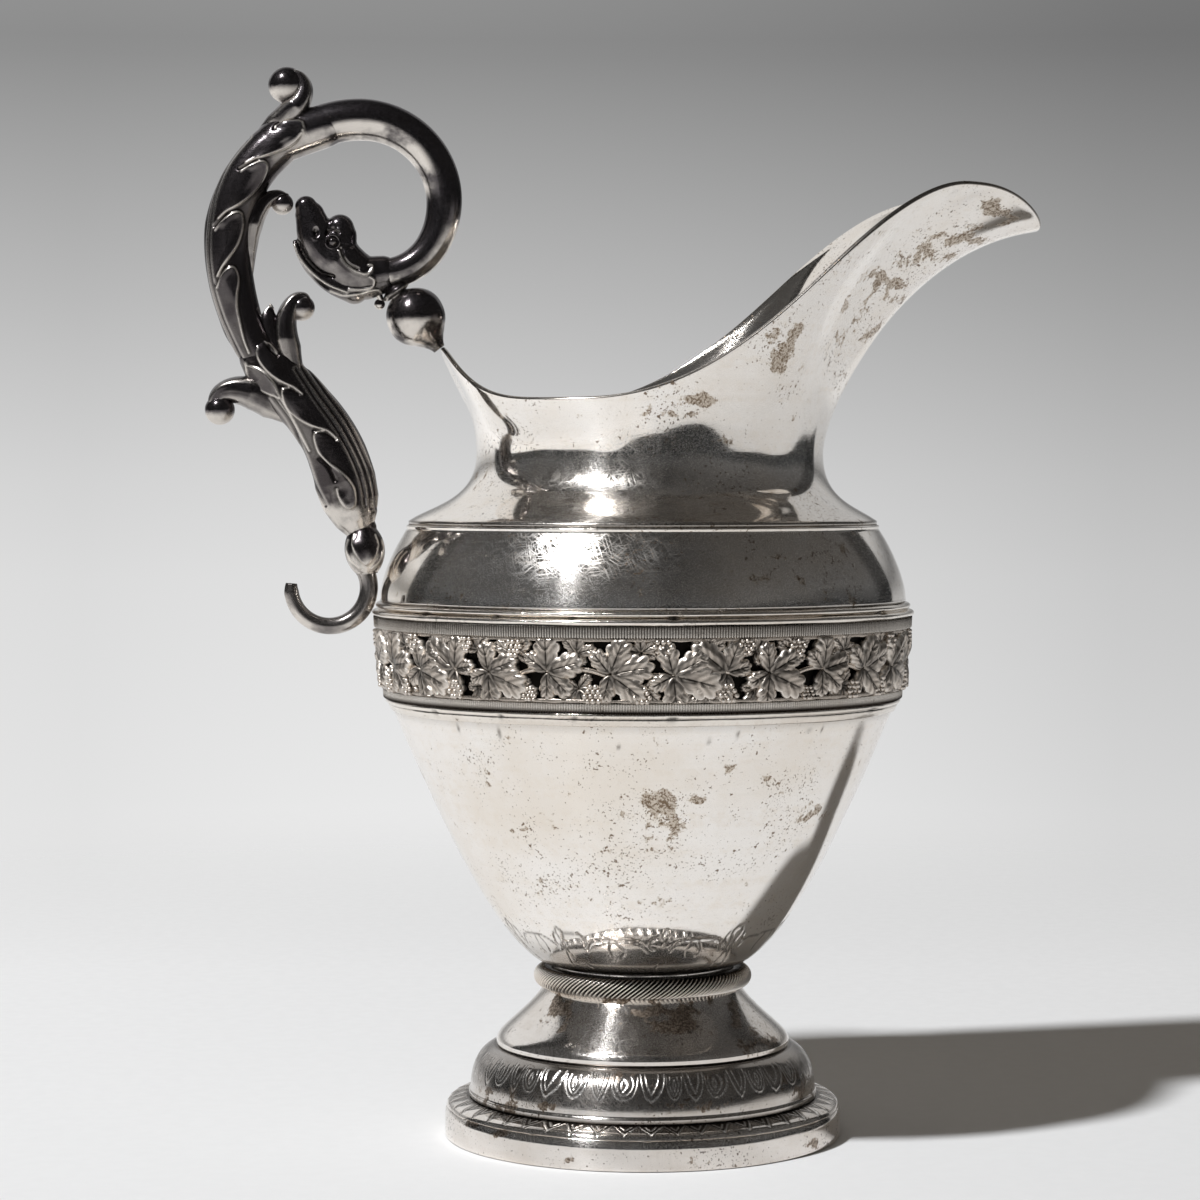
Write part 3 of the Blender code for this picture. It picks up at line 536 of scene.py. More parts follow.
def flange_relief(profile, angle):
    band = (36.0 - profile[:, 0]) / 3.7
    band[profile[:, 1] < 6.0] = 9
    rise, rub, grime = tiled(
        profile, FLANGE_COLUMNS, FLANGE_REPEATS, band, FLANGE_LINES,
        width=0.12, depth=0.14, height_mm=3.7, radius=34.2)
    corner = bump(profile[:, :1] - 32.2, 0.45) * (profile[:, 1:] > 6.5)
    middle = np.abs((np.arange(FLANGE_COLUMNS) / FLANGE_COLUMNS * FLANGE_REPEATS) % 1 - 0.5) * 2
    wedge = ease(0.08, -0.08, middle - band[:, None]) * (band[:, None] < 2)
    grime = np.maximum(0.9 * grime, 0.95 * wedge) * (1 - rub)
    return rise - 0.10 * wedge, rub, np.maximum(grime, 0.9 * corner + 0 * angle)


add_piece("foot_flange", [turned(section([
    (36.2, 5.48, 0.05, 0.4), (35.95, 6.1, 0.3, 0.3), (35.3, 6.55, 0.3, 0.13), (32.2, 7.25, 0.0, 0.8),
    (29.1, 7.25, 0.2, 0.8), (29.1, 5.48, 0.2, 0.8),
]), FLANGE_COLUMNS, flange_relief)], "foot_silver")

DOME_REPEATS = 22
DOME_COLUMNS = DOME_REPEATS * 60
DOME_LINES = [
    [(0.02, 0.00), (0.06, 0.40), (0.15, 0.78), (0.25, 1.00)],
    [(0.25, 1.00), (0.35, 0.78), (0.44, 0.40), (0.48, 0.00)],
    [(0.13, 0.02), (0.17, 0.36), (0.25, 0.72)],
    [(0.37, 0.02), (0.33, 0.36), (0.25, 0.72)],
    [(0.62, 0.10), (0.60, 0.35), (0.66, 0.62), (0.74, 0.74), (0.82, 0.62), (0.88, 0.35), (0.84, 0.10)],
    [(0.74, 0.60), (0.70, 0.40), (0.74, 0.18), (0.78, 0.38), (0.74, 0.60)],
    [(0.52, 0.10), (0.54, 0.48), (0.62, 0.80), (0.74, 0.92), (0.86, 0.80), (0.94, 0.48), (0.97, 0.10)],
]


def dome_curve(radius_low, radius_top, low, top, steps):
    turn = np.linspace(0, math.pi / 2, steps)
    radius = radius_top + (radius_low - radius_top) * np.cos(turn).clip(0) ** 0.8
    return np.stack([radius, low + (top - low) * np.sin(turn)], -1)


def dome_relief(profile, angle):
    band = (15.7 - profile[:, 1]) / 4.6
    band[profile[:, 0] < 27.0] = 9
    band[(profile[:, 0] < 30.0) & (profile[:, 1] < 11.0)] = 9
    rise, rub, grime = tiled(
        profile, DOME_COLUMNS, DOME_REPEATS, band, DOME_LINES,
        width=0.10, depth=0.13, height_mm=6.4, radius=30.3)
    seam = bump(profile[:, :1] - 27.2, 0.5) * (profile[:, 1:] > 15) + bump(profile[:, 1:] - 7.5, 0.4)
    tarnish = (0.26 + 0.34 * ease(9.4, 11.0, profile[:, 1:])) * (profile[:, :1] > 26.5) * (band[:, None] < 5)
    soil_and_shade = np.maximum(0.7 * grime, tarnish * (1 - rub))
    return rise, 0.80 * rub, np.maximum(soil_and_shade, np.clip(seam, 0, 0.9) + 0 * angle)


dome_outer = dome_curve(31.8, 26.1, 8.3, 16.5, 64)
dome_inner = dome_curve(30.9, 25.2, 8.2, 15.6, 16)[::-1]
add_piece("foot_dome", [turned(section(
    [(32.1, 7.32, 0.15, 0.4), (32.1, 8.2, 0.15, 0.4)] + run_corners(dome_outer[1:])
    + [(24.4, 16.5, 0.15, 0.4), (24.4, 15.6, 0.15, 0.4)] + run_corners(dome_inner[1:])
    + [(30.9, 7.32, 0.15, 0.4)]
), DOME_COLUMNS, dome_relief)], "foot_silver", FOOT_STAINS)


def bezier(start, start_pull, end_pull, end, steps):
    share = np.linspace(0, 1, steps)[:, None]
    start, start_pull, end_pull, end = np.array((start, start_pull, end_pull, end), float)
    return (
        (1 - share) ** 3 * start + 3 * share * (1 - share) ** 2 * start_pull
        + 3 * share * share * (1 - share) * end_pull + share ** 3 * end
    )


def trumpet_relief(profile, angle):
    height = profile[:, 1:]
    rise = wobble(height, angle, 0.10) * ease(17.6, 19.5, height)
    dirt = bump(height - 27.6, 0.5) * (0.5 + 0.5 * np.sin(23 * angle + 3 * np.sin(7 * angle)))
    return rise, 0 * rise, 0.8 * dirt * (profile[:, :1] > 16.6)


trumpet_outer = bezier((26.9, 17.75), (26.7, 19.3), (19.5, 23.8), (18.0, 27.6), 36)
trumpet_inner = trumpet_outer[::-3] - (SHEET, 0.5)
add_piece("foot_trumpet", [turned(section(
    [(27.0, 16.62, 0.25, 0.3), (27.0, 17.6, 0.2, 0.3)] + run_corners(trumpet_outer[1:])
    + [(16.5, 28.0, 0.3, 0.6), (16.5, 31.3, 0.2, 0.4), (15.6, 31.3, 0.2, 0.6), (15.6, 27.6, 0.3, 0.6)]
    + run_corners(trumpet_inner[1:-1]) + [(25.6, 16.62, 0.2, 0.4)]
), 360, trumpet_relief)], "foot_silver", FOOT_STAINS)

ROPE_RIDGES = 130
ROPE_STEPS = 12
ROPE_LEAN = 0.12
rope_turn = np.linspace(0, 2 * math.pi, 30, endpoint=False)[:, None]
rope_step = full_turn(ROPE_RIDGES * ROPE_STEPS)
rope_strand = np.abs(np.sin(ROPE_RIDGES / 2 * rope_step))
rope_shown = ease(0.05, 0.45, np.cos(rope_turn))
rope_swell = 0.95 * (rope_strand - 0.6) * rope_shown
rope_reach = 16.8 + (2.95 + rope_swell) * (0.35 + 0.65 * np.cos(rope_turn)).clip(-0.02)
rope_angle = rope_step + ROPE_LEAN * np.sin(rope_turn)
rope_points = np.stack([
    rope_reach * np.cos(rope_angle), rope_reach * np.sin(rope_angle),
    29.05 + (1.75 + 0.6 * rope_swell) * np.sin(rope_turn),
], -1)
# Rubbed strand crests, kept to the lower side as a painted reflection of the pale floor
rope_rub_and_floor_reflection = ease(0.55, 0.90, rope_strand) * rope_shown * ease(0.95, 0.2, np.sin(rope_turn))
# Painted shade on the rope's top, under the bowl, added to the grime in the grooves and where the rope meets
# the body
rope_top_shade = ease(-0.1, 0.9, np.sin(rope_turn))
rope_grime_and_shade = np.maximum(ease(0.78 + 0.3 * rope_top_shade, 0.42, rope_strand) * rope_shown, 0.9 * (1 - rope_shown))
add_piece("rope_collar", [grid(rope_points, loop=True, rub=rope_rub_and_floor_reflection, grime=rope_grime_and_shade * (1 - rope_rub_and_floor_reflection))],
          "trim_silver")

# Bowl with its engraved calyx
CALYX_REPEATS = 10
BOWL_COLUMNS = CALYX_REPEATS * 90
CALYX_LINES = [
    [(0.36, 0.00), (0.43, 0.22), (0.47, 0.44), (0.48, 0.66)],
    [(0.64, 0.00), (0.57, 0.22), (0.53, 0.44), (0.52, 0.66)],
    [(0.48, 0.66), (0.44, 0.86), (0.38, 0.82), (0.35, 0.66), (0.37, 0.58)],
    [(0.52, 0.66), (0.56, 0.86), (0.62, 0.82), (0.65, 0.66), (0.63, 0.58)],
    [(0.44, 0.86), (0.50, 0.98), (0.56, 0.86)],
    [(0.66, 0.50), (0.74, 0.68), (0.86, 0.76), (1.00, 0.77), (1.14, 0.76), (1.26, 0.68), (1.34, 0.50)],
    [(0.94, 0.72), (0.90, 0.52), (0.93, 0.36)],
    [(1.05, 0.74), (1.11, 0.60), (1.13, 0.46), (1.10, 0.40)],
]


# Nicks under the moulding: degrees round the axis, height, half width in degrees, half height
BOWL_NICKS = (
    (231.0, 76.5, 0.45, 0.8), (219.0, 76.9, 0.40, 0.6), (285.5, 76.6, 0.35, 0.5), (304.0, 77.0, 0.90, 0.25),
    (308.0, 76.8, 0.30, 0.5), (279.0, 75.6, 0.45, 0.35), (259.0, 74.6, 0.35, 0.28),
)


def bowl_curve(inset, steps, low_share):
    share = np.linspace(low_share, 1, steps) ** 1.6
    return np.stack([17.85 + 28.15 * share ** 0.675 - inset, 31.6 + 46.6 * share], -1)


def bowl_relief(profile, angle):
    height = profile[:, 1:]
    band = (profile[:, 1] - 31.9) / 9.0
    inside = np.arange(len(profile)) > len(bowl_outer) + 8
    band[inside] = 9
    rise, rub, grime = tiled(
        profile, BOWL_COLUMNS, CALYX_REPEATS, band, CALYX_LINES,
        width=0.13, depth=0.17, height_mm=10.5, radius=22.5)
    # A dark joint where the bowl meets the rope, and a band darker towards the bowl's bottom that is partly
    # tarnish and partly a painted dark reflection of the foot
    foot = (bump(height - 31.6, 0.7) + 0.66 * ease(39.5, 33.5, height)) * ~inside[:, None]
    top = bump(height - 77.9, 0.35)
    nicks = np.zeros(angle.shape)
    for place, level, wide, tall in BOWL_NICKS:
        nicks = np.maximum(nicks, bump(np.degrees(angle) - place, wide) * bump(height - level, tall))
    rise = rise + wobble(height, angle, 0.12) * ease(31.6, 38, height) * ease(79, 74, height)
    soil_and_shade = 0.8 * foot + 0.5 * top + 0.9 * nicks * ~inside[:, None]
    soil_and_shade = np.maximum(np.maximum(0.95 * rub, 0.2 * grime), soil_and_shade)
    return rise, 0.1 * rub, np.clip(soil_and_shade, 0, 1)


bowl_outer = bowl_curve(0.0, 104, 0.0)
bowl_inner = bowl_curve(SHEET, 26, 0.06)[::-1]
BODY_STAINS = [
    (663, 811, 30, 22, 1.0), (692, 801, 12, 9, 0.9), (773, 785, 20, 13, 0.9), (483, 777, 10, 18, 0.8),
    (735, 815, 9, 16, 0.6), (623, 770, 22, 8, 0.55), (640, 855, 44, 8, 0.6), (560, 890, 30, 10, 0.5),
    (805, 812, 20, 16, 0.55), (520, 830, 14, 8, 0.5), (730, 770, 18, 7, 0.5), (668, 905, 40, 10, 0.45),
    (780, 352, 15, 24, 1.0), (796, 328, 14, 8, 0.9), (886, 231, 7, 6, 1.0), (850, 262, 9, 9, 1.0),
    (1000, 212, 22, 8, 1.0), (940, 236, 36, 12, 0.8), (972, 226, 22, 9, 0.8), (885, 282, 30, 14, 0.8),
    (862, 308, 20, 16, 0.65), (915, 265, 20, 12, 0.7), (668, 415, 36, 9, 0.85), (640, 430, 30, 10, 0.65),
    (690, 400, 24, 8, 0.75), (500, 440, 10, 30, 0.55), (835, 590, 40, 10, 0.6), (840, 350, 12, 20, 0.55),
    (800, 560, 40, 8, 0.6), (860, 520, 16, 20, 0.5), (480, 480, 14, 16, 0.6), (845, 560, 20, 16, 0.7),
    (760, 580, 60, 8, 0.5), (560, 600, 60, 6, 0.4), (720, 440, 30, 8, 0.5), (960, 240, 40, 8, 1.0),
    (908, 262, 18, 12, 1.0), (882, 284, 12, 16, 1.0), (870, 330, 14, 18, 0.8), (985, 205, 14, 9, 1.0),
    (900, 300, 12, 10, 0.9), (838, 380, 10, 16, 0.7), (868, 322, 34, 36, 0.6), (928, 254, 40, 16, 0.7),
]
add_piece("bowl", [turned(section(
    run_corners(bowl_outer) + [(46.0, 98.0, 0.2, 1.2), (45.1, 98.0, 0.2, 2.5)] + run_corners(bowl_inner)
    + [(15.0, 32.6, 0.3, 2.0), (0.4, 32.5, 0.0, 1.0), (0.4, 31.62, 0.0, 2.5)]
), BOWL_COLUMNS, bowl_relief)], "body_silver", BODY_STAINS)


# Girdle
def wire_relief(profile, angle):
    height = profile[:, 1:]
    rise = 0.04 * np.sin(7 * angle + 1.1) + 0.03 * np.sin(19 * angle)
    nick = ease(0.96, 1.0, np.sin(13 * angle + 3 * np.sin(3 * angle))) * bump(height - height.mean(), 0.5)
    return rise - 0.15 * nick, 0 * rise, 0.7 * nick


def half_round(inner, low, high, reach, steps=16):
    turn = np.linspace(-math.pi / 2, math.pi / 2, steps)
    radius = inner + reach * np.cos(turn).clip(0) ** 0.7
    return np.stack([radius, (low + high) / 2 + (high - low) / 2 * np.sin(turn)], -1)


lower_wire = np.vstack([
    [(46.35, 78.2), (46.5, 78.35), (46.75, 78.9), (47.05, 79.5)], half_round(46.9, 79.6, 80.6, 0.6, 11),
])
add_piece("lower_moulding", [turned(section(
    run_corners(lower_wire) + [(46.15, 80.6, 0.1, 1.0), (46.15, 78.2, 0.1, 1.0)]
), 360, wire_relief)], "trim_silver")

upper_wire = np.vstack([half_round(48.9, 95.55, 96.75, 1.1, 13), half_round(48.0, 96.85, 98.1, 1.35, 13)])
add_piece("upper_moulding", [turned(section(
    run_corners(upper_wire) + [(46.2, 98.1, 0.1, 1.2), (46.2, 95.55, 0.1, 1.2)]
), 360, wire_relief)], "trim_silver")

STRIP_RIDGES = 640
VINE_MIDDLE = 87.9


def milled_relief(profile, angle):
    ridge = np.cos(STRIP_RIDGES * angle)
    shown = ease(46.9, 47.4, profile[:, :1])
    share = (profile[:, 1:] - profile[:, 1].min()) / np.ptp(profile[:, 1])
    crest = ease(0.0, 1.0, ridge) * shown
    if profile[:, 1].mean() < VINE_MIDDLE:
        # Lower strip: ridges bright above, darker towards the bottom edge
        rub = 0.45 * crest * ease(0.1, 0.4, share)
        grime = 0.30 + 0.25 * ease(0.2, -1.0, ridge) + 0.7 * ease(0.30, 0.05, share)
    else:
        # Upper strip: a painted shadow of the moulding above, darker towards the top, with the ridges bright
        # only lower down
        rub = (0.35 + 0.40 * ease(0.45, 0.10, share)) * ease(1.0, 0.7, share) * crest
        grime = 0.58 + 0.20 * ease(0.2, 0.9, share) + 0.35 * ease(0.2, -1.0, ridge)
    return 0.10 * ridge * shown, rub, grime.clip(0, 1) * (1 - rub)


for strip, low, high, outer in (
    ("lower_milled_strip", 80.65, 82.25, 47.85), ("upper_milled_strip", 93.55, 95.5, 49.6),
):
    add_piece(strip, [turned(section([
        (outer - 0.1, low, 0.15, 0.5), (outer, high, 0.15, 1.0), (46.2, high, 0.1, 2.0),
        (46.2, low, 0.1, 1.0),
    ]), STRIP_RIDGES * 4, milled_relief)], "trim_silver")

# Vine band: leaves, grapes and stalks on a dark ground
VINE_REPEATS = 6
VINE_START = math.radians(231)
VINE_GROUND = 46.9
# Aim in degrees and length of each lobe of a leaf
LOBES = ((-120, 0.64), (120, 0.68), (-59, 0.86), (59, 0.90), (0, 1.00))
# Leaves: degrees along the repeat, height, size, aim in degrees, level above the ground
LEAVES = (
    (6.0, 2.8, 4.6, 95, 0.0), (19.8, 2.9, 4.2, 75, 0.0), (20.0, -3.1, 4.4, -80, 0.0),
    (33.0, 3.1, 4.2, 100, 0.0), (33.0, -3.2, 4.0, -100, 0.0), (46.0, -3.0, 4.4, -100, 0.0),
    (46.5, 3.2, 4.0, 80, 0.0), (57.0, 3.1, 4.4, 60, 0.0), (57.0, -3.2, 4.2, -60, 0.0),
    (7.0, -3.3, 4.0, -70, 0.0), (13.5, -0.3, 7.2, 22, 0.5), (50.7, -0.4, 7.6, 138, 0.45),
    (0.0, -0.6, 7.5, -30, 0.7), (26.7, -0.6, 8.0, 14, 0.6), (39.5, -0.8, 8.1, -23, 0.75),
)
# Bunches of grapes: degrees along the repeat, height, scale
GRAPES = ((6.4, 3.6, 0.9), (23.2, -4.0, 0.95), (33.2, -4.2, 0.85), (37.4, 3.7, 0.95), (51.0, -3.9, 0.95),
          (54.6, 4.0, 0.8), (9.6, -4.2, 0.7))


def on_band(across, up, out, angle):
    """Places flat ornament on the band: across and up in its face, out from the dark ground."""
    turn = angle + across / 48.5
    radius = VINE_GROUND + out + 0.9 * ease(-5.6, 5.6, up)
    return np.stack([radius * np.cos(turn), radius * np.sin(turn), VINE_MIDDLE + up], -1)


def vine_lobe(angle, up, length, aim, level, sway):
    """One toothed lobe of a leaf: a puffed, tilted blade with a cut midrib, from the leaf's stalk end."""
    columns = 66 if level > 0.3 else 44
    around = full_turn(columns)
    tooth = 0.78 + 0.22 * np.abs(np.cos(4.5 * around)) ** 0.8
    tooth = 1 + (tooth - 1) * ease(-0.7, -0.1, np.cos(around))
    rings = np.array((0.08, 0.26, 0.44, 0.60, 0.74, 0.86, 0.95, 1.0))[:, None]
    along = 0.52 + 0.49 * rings * tooth * np.cos(around)
    beside = 0.33 * rings * tooth * np.sin(around) * (1 + 0.22 * np.cos(around))
    rim = np.sqrt(np.clip(1 - rings ** 3, 0, 1)) + 0 * around
    side = np.abs(beside * length)
    mid = bump(side, 0.10) * ease(0.97, 0.75, along) * ease(0.05, 0.25, along)
    vein = 0.5 + 0.5 * np.cos(2 * math.pi * (4.5 * along - 6.0 * np.abs(beside)))
    rise = rim * (0.50 + 0.10 * vein + 0.30 * ease(0.50, 1.0, along)) - 0.16 * mid
    rise = rise + 0.25 * ease(0.25, 0.9, side) * ease(1.9, 1.0, side) * rim
    rise = rise + 0.24 * sway * beside * length * rim
    turn = math.radians(aim)
    across = length * (along * math.cos(turn) - beside * math.sin(turn))
    tall = np.clip(up + length * (along * math.sin(turn) + beside * math.cos(turn)), -5.4, 5.4)
    out = np.vstack([np.minimum(0.30 + level + rise, 2.1), np.full((1, columns), -0.3)])
    points = on_band(np.vstack([across, across[-1:]]), np.vstack([tall, tall[-1:]]), out, angle)
    edge = ease(0.80, 0.95, rings) * ease(0.15, 0.45, along)
    rub = np.clip(1.0 * edge + 0.20 * vein * ease(0.3, 0.7, rings), 0, 1) * (1 - mid)
    soil_and_shade = np.clip(0.85 * mid + 0.55 * (1 - vein) * rim + 0.60 * ease(0.55, 0.10, along), 0, 0.95)
    rub = np.vstack([rub, 0 * rub[:1]])
    grime = np.vstack([soil_and_shade * (1 - rub[:-1]), np.ones((1, columns))])
    return grid(points, capped=True, rub=rub, grime=grime)


def vine_leaf(angle, up, size, aim, level):
    """Five lobes that overlap at the stalk end of the leaf."""
    lobes = []
    for step, (offset, length) in enumerate(LOBES):
        sway = math.sin(37 * angle + 2.3 * step)
        reach = size * length * (1 + 0.09 * sway)
        lobes.append(vine_lobe(angle, up, reach, aim + offset + 9 * sway, level + 0.07 * step, sway))
    return lobes


def small_ball(centre, radius, rows=7, columns=10, rub=0.0):
    polar = np.linspace(0.12, math.pi - 0.12, rows)[:, None]
    around = full_turn(columns)
    points = np.stack([
        np.sin(polar) * np.cos(around), np.sin(polar) * np.sin(around), np.cos(polar) + 0 * around,
    ], -1) * radius + np.asarray(centre)
    return grid(points, capped=True, rub=rub)


def bunch(angle, up, scale):
    """Grapes in rows that narrow to a tip."""
    balls = []
    for row, count in enumerate((3, 4, 3, 2)):
        for place in range(count):
            across = (place - (count - 1) / 2) * 1.0 * scale
            tall = up + (1.5 - row) * 0.86 * scale * math.copysign(1, up)
            out = 1.35 + 0.25 * math.sin(2.1 * row + 1.7 * place)
            centre = on_band(np.array([across]), np.array([tall]), np.array([out]), angle)[0]
            balls.append(small_ball(centre, 0.50 * scale, rub=0.45))
    return balls


def ground_marks(profile, angle):
    return 0 * angle, 0 * angle, 0 * angle + 1


def rail_relief(profile, angle):
    return 0.06 * np.sin(40 * angle) + 0.05 * np.sin(97 * angle), 0 * angle, 0 * angle + 0.15


vine = [turned(section([
    (VINE_GROUND, 82.3, 0.1, 1.0), (VINE_GROUND + 0.9, 93.5, 0.1, 2.0), (46.25, 93.5, 0.1, 2.0),
    (46.25, 82.3, 0.1, 1.0),
]), 240, ground_marks)]
for rail_low, rail_high, rail_out in ((82.35, 82.95, 48.15), (92.9, 93.5, 48.9)):
    vine.append(turned(section([
        (rail_out, rail_low, 0.15, 0.5), (rail_out, rail_high, 0.15, 1.0), (46.9, rail_high, 0.1, 1.0),
        (46.9, rail_low, 0.1, 1.0),
    ]), 360, rail_relief))
stalk_angle = full_turn(720)
stalk_turn = full_turn(8)[:, None]
stalk_up = -0.5 + 0.7 * np.sin(12 * stalk_angle) + 0.3 * np.sin(30 * stalk_angle + 1)
stalk_out = 0.6 + 0.45 * np.cos(stalk_turn) + 0 * stalk_up
stalk_points = on_band(0 * stalk_out, stalk_up + 0.5 * np.sin(stalk_turn), stalk_out, stalk_angle)
vine.append(grid(stalk_points, loop=True))
for repeat in range(VINE_REPEATS):
    start = VINE_START + repeat * 2 * math.pi / VINE_REPEATS
    for offset, up, size, aim, level in LEAVES:
        vine.extend(vine_leaf(start + math.radians(offset), up, size, aim, level))
    for offset, up, scale in GRAPES:
        vine.extend(bunch(start + math.radians(offset), up, scale))
add_piece("vine_frieze", vine, "vine_silver")


# Shoulder and neck
def shoulder_relief(profile, angle):
    height = profile[:, 1:]
    rise = wobble(height, angle, 0.09) * ease(98.3, 101, height) * ease(111.5, 109, height)
    seam = bump(height - 98.3, 0.4)
    return rise, 0 * rise, 0.6 * seam + 0 * rise


shoulder_share = np.linspace(0, 1, 34)
shoulder_outer = np.stack([48.5 - 5.0 * shoulder_share ** 1.7, 98.2 + 13.3 * shoulder_share], -1)
shoulder_inner = shoulder_outer[::-2] - (SHEET, 0.0)
add_piece("shoulder", [turned(section(
    run_corners(shoulder_outer)
    + [(43.58, 111.7, 0.05, 0.3), (43.62, 112.0, 0.1, 0.3), (43.45, 112.2, 0.08, 0.4)]
    + [(42.7, 112.15, 0.1, 0.4)] + run_corners(shoulder_inner[:-1]) + [(47.6, 98.2, 0.1, 0.5)]
), 480, shoulder_relief)], "body_silver", BODY_STAINS)

NECK_LOW = 112.2
NECK_FOOT = 43.2
NECK_EDGE = 0.7
WAIST_RADIUS = 32.0
WAIST_LEAN = 1.3
WAIST_RISE = 13.0
WAIST_Z = NECK_LOW + WAIST_RISE
RIM_BACK = 37.3
SPOUT_REACH = 73.9


def mouth_width(x):
    if x > 0:
        return 33.3 * max(1 - (x / SPOUT_REACH) ** 2, 0.0) ** 0.42
    return 33.3 * max(1 - (x / RIM_BACK) ** 2, 0.0) ** 0.5


def rim_rise(x):
    if x < -17.0:
        return 22.4 + 9.7 * ((-17.0 - x) / (RIM_BACK - 17.0)) ** 4.2
    if x < 57.0:
        share = ((x + 17.0) / 74.0) ** 1.30
        return 22.4 + 38.6 * share * share * (3 - 2 * share)
    return 61.0 - 6.4 * ((x - 57.0) / (SPOUT_REACH - 57.0)) ** 2.5


def rim_point(turn):
    low, high = -RIM_BACK, SPOUT_REACH
    for _ in range(48):
        middle = (low + high) / 2
        if math.atan2(mouth_width(middle), middle) > abs(turn):
            low = middle
        else:
            high = middle
    return np.array((low, math.copysign(mouth_width(low), turn), NECK_LOW + rim_rise(low)))


def neck_column(turn):
    """The neck's outer line from its foot to the rim, in one direction from the axis."""
    share = abs(turn) / math.pi
    way = np.array((math.cos(turn), math.sin(turn), 0.0))
    up = np.array((0.0, 0.0, 1.0))
    foot = NECK_FOOT * way + NECK_LOW * up
    edge = foot + NECK_EDGE * up
    waist = WAIST_RADIUS * way + WAIST_Z * up + np.array((WAIST_LEAN, 0.0, 0.0))
    rim = rim_point(turn)
    rim_radius = math.hypot(rim[0], rim[1])
    cove = NECK_FOOT - 0.34 * (NECK_FOOT - WAIST_RADIUS)
    foot_pull = cove * way + (NECK_LOW + NECK_EDGE + 0.22 * WAIST_RISE) * up
    soft = min(share * 3, 1)
    soft = soft * soft * (3 - 2 * soft)
    climb = rim[2] - WAIST_Z
    lift = math.radians(8 + 67 * soft - 14 * max(2 * share - 1, 0) ** 2)
    pull = 0.65 * (rim_radius - WAIST_RADIUS) + 0.34 * soft * climb
    draw_in = 1 - pull * math.cos(lift) / rim_radius
    rim_pull = np.array((rim[0] * draw_in, rim[1] * draw_in, rim[2] - pull * math.sin(lift)))
    low_run = bezier(edge, foot_pull, waist - 0.66 * WAIST_RISE * up, waist, 26)
    high_run = bezier(waist, waist + (0.14 + 0.26 * soft) * climb * up, rim_pull, rim, 54)
    return np.vstack([foot, low_run, high_run[1:]])


half_turns = math.pi * np.linspace(0.0015, 0.9995, 170) ** 1.45
neck_turns = np.concatenate([-half_turns[::-1], half_turns])
outer = np.stack([neck_column(turn) for turn in neck_turns], axis=1)
across_way = np.roll(outer, -1, axis=1) - np.roll(outer, 1, axis=1)
up_way = np.gradient(outer, axis=0)
facing = np.cross(across_way, up_way)
facing /= np.linalg.norm(facing, axis=2)[:, :, None]
neck_angle = np.broadcast_to(neck_turns, outer.shape[:2])
uneven = wobble(outer[:, :, 2], neck_angle, 0.12) * ease(114, 120, outer[:, :, 2])
uneven = uneven * ease(0, 6, (outer[-1:, :, 2] - outer[:, :, 2]))
lengths = np.linalg.norm(np.diff(outer, axis=0, append=outer[-1:]), axis=2)
below_rim = np.cumsum(lengths[::-1], axis=0)[::-1]
spout_side = np.abs(facing[:, :, 1]) * ease(1.1, 0.5, np.abs(neck_angle))
lean_in = 0.7 * (1 - below_rim / 10.0).clip(0) ** 2 * spout_side
outer = outer + (uneven - lean_in)[:, :, None] * facing
rim_up = up_way[-1] / np.linalg.norm(up_way[-1], axis=1)[:, None]
rim_middle = outer[-1] - SHEET / 2 * facing[-1]
rim_rows = []
for step in np.linspace(0, math.pi, 7)[1:-1]:
    rim_rows.append(rim_middle + SHEET / 2 * (math.cos(step) * facing[-1] + 0.7 * math.sin(step) * rim_up))
inner = (outer - SHEET * facing)[::-2]
neck_rows = np.concatenate([outer, np.array(rim_rows), inner])
neck_joint_grime_and_rim_shade = np.zeros(neck_rows.shape[:2])
# Grime at the joint with the shoulder, and a painted dark reflection of the room above along the rim's edge
neck_joint_grime_and_rim_shade[:2] = 0.6
neck_joint_grime_and_rim_shade[len(outer):len(outer) + len(rim_rows)] = 0.75
add_piece("neck_and_spout", [grid(neck_rows, loop=True, grime=neck_joint_grime_and_rim_shade)],
          "body_silver", BODY_STAINS)


# Handle: tubes in the jug's middle plane, with leaves in relief on both flanks
def swept(path, half, depth, around=40, relief=None):
    """A closed tube along a path of x and z. Half is its size in the plane and depth its size across it."""
    path = np.asarray(path, float)
    way = np.gradient(path, axis=0)
    way /= np.linalg.norm(way, axis=1)[:, None]
    right = np.stack([way[:, 1], -way[:, 0]], -1)
    turn = full_turn(around)
    half = np.broadcast_to(np.asarray(half, float), (len(path),))[:, None]
    depth = np.broadcast_to(np.asarray(depth, float), (len(path),))[:, None]
    out = half * np.cos(turn)
    points = np.stack([
        path[:, :1] + out * right[:, :1], depth * np.sin(turn), path[:, 1:] + out * right[:, 1:],
    ], -1)
    rub = grime = 0.0
    if relief:
        along = np.gradient(points, axis=0)
        beside = np.roll(points, -1, axis=1) - np.roll(points, 1, axis=1)
        normal = np.cross(beside, along)
        normal /= np.linalg.norm(normal, axis=2)[:, :, None] + 1e-9
        inward = np.einsum("ijk,ijk->", normal, points - points.mean(axis=1, keepdims=True))
        normal *= math.copysign(1, inward)
        rise, rub, grime = relief(points, np.broadcast_to(turn, points.shape[:2]))
        points = points + rise[:, :, None] * normal
    return grid(points, capped=True, rub=rub, grime=grime)


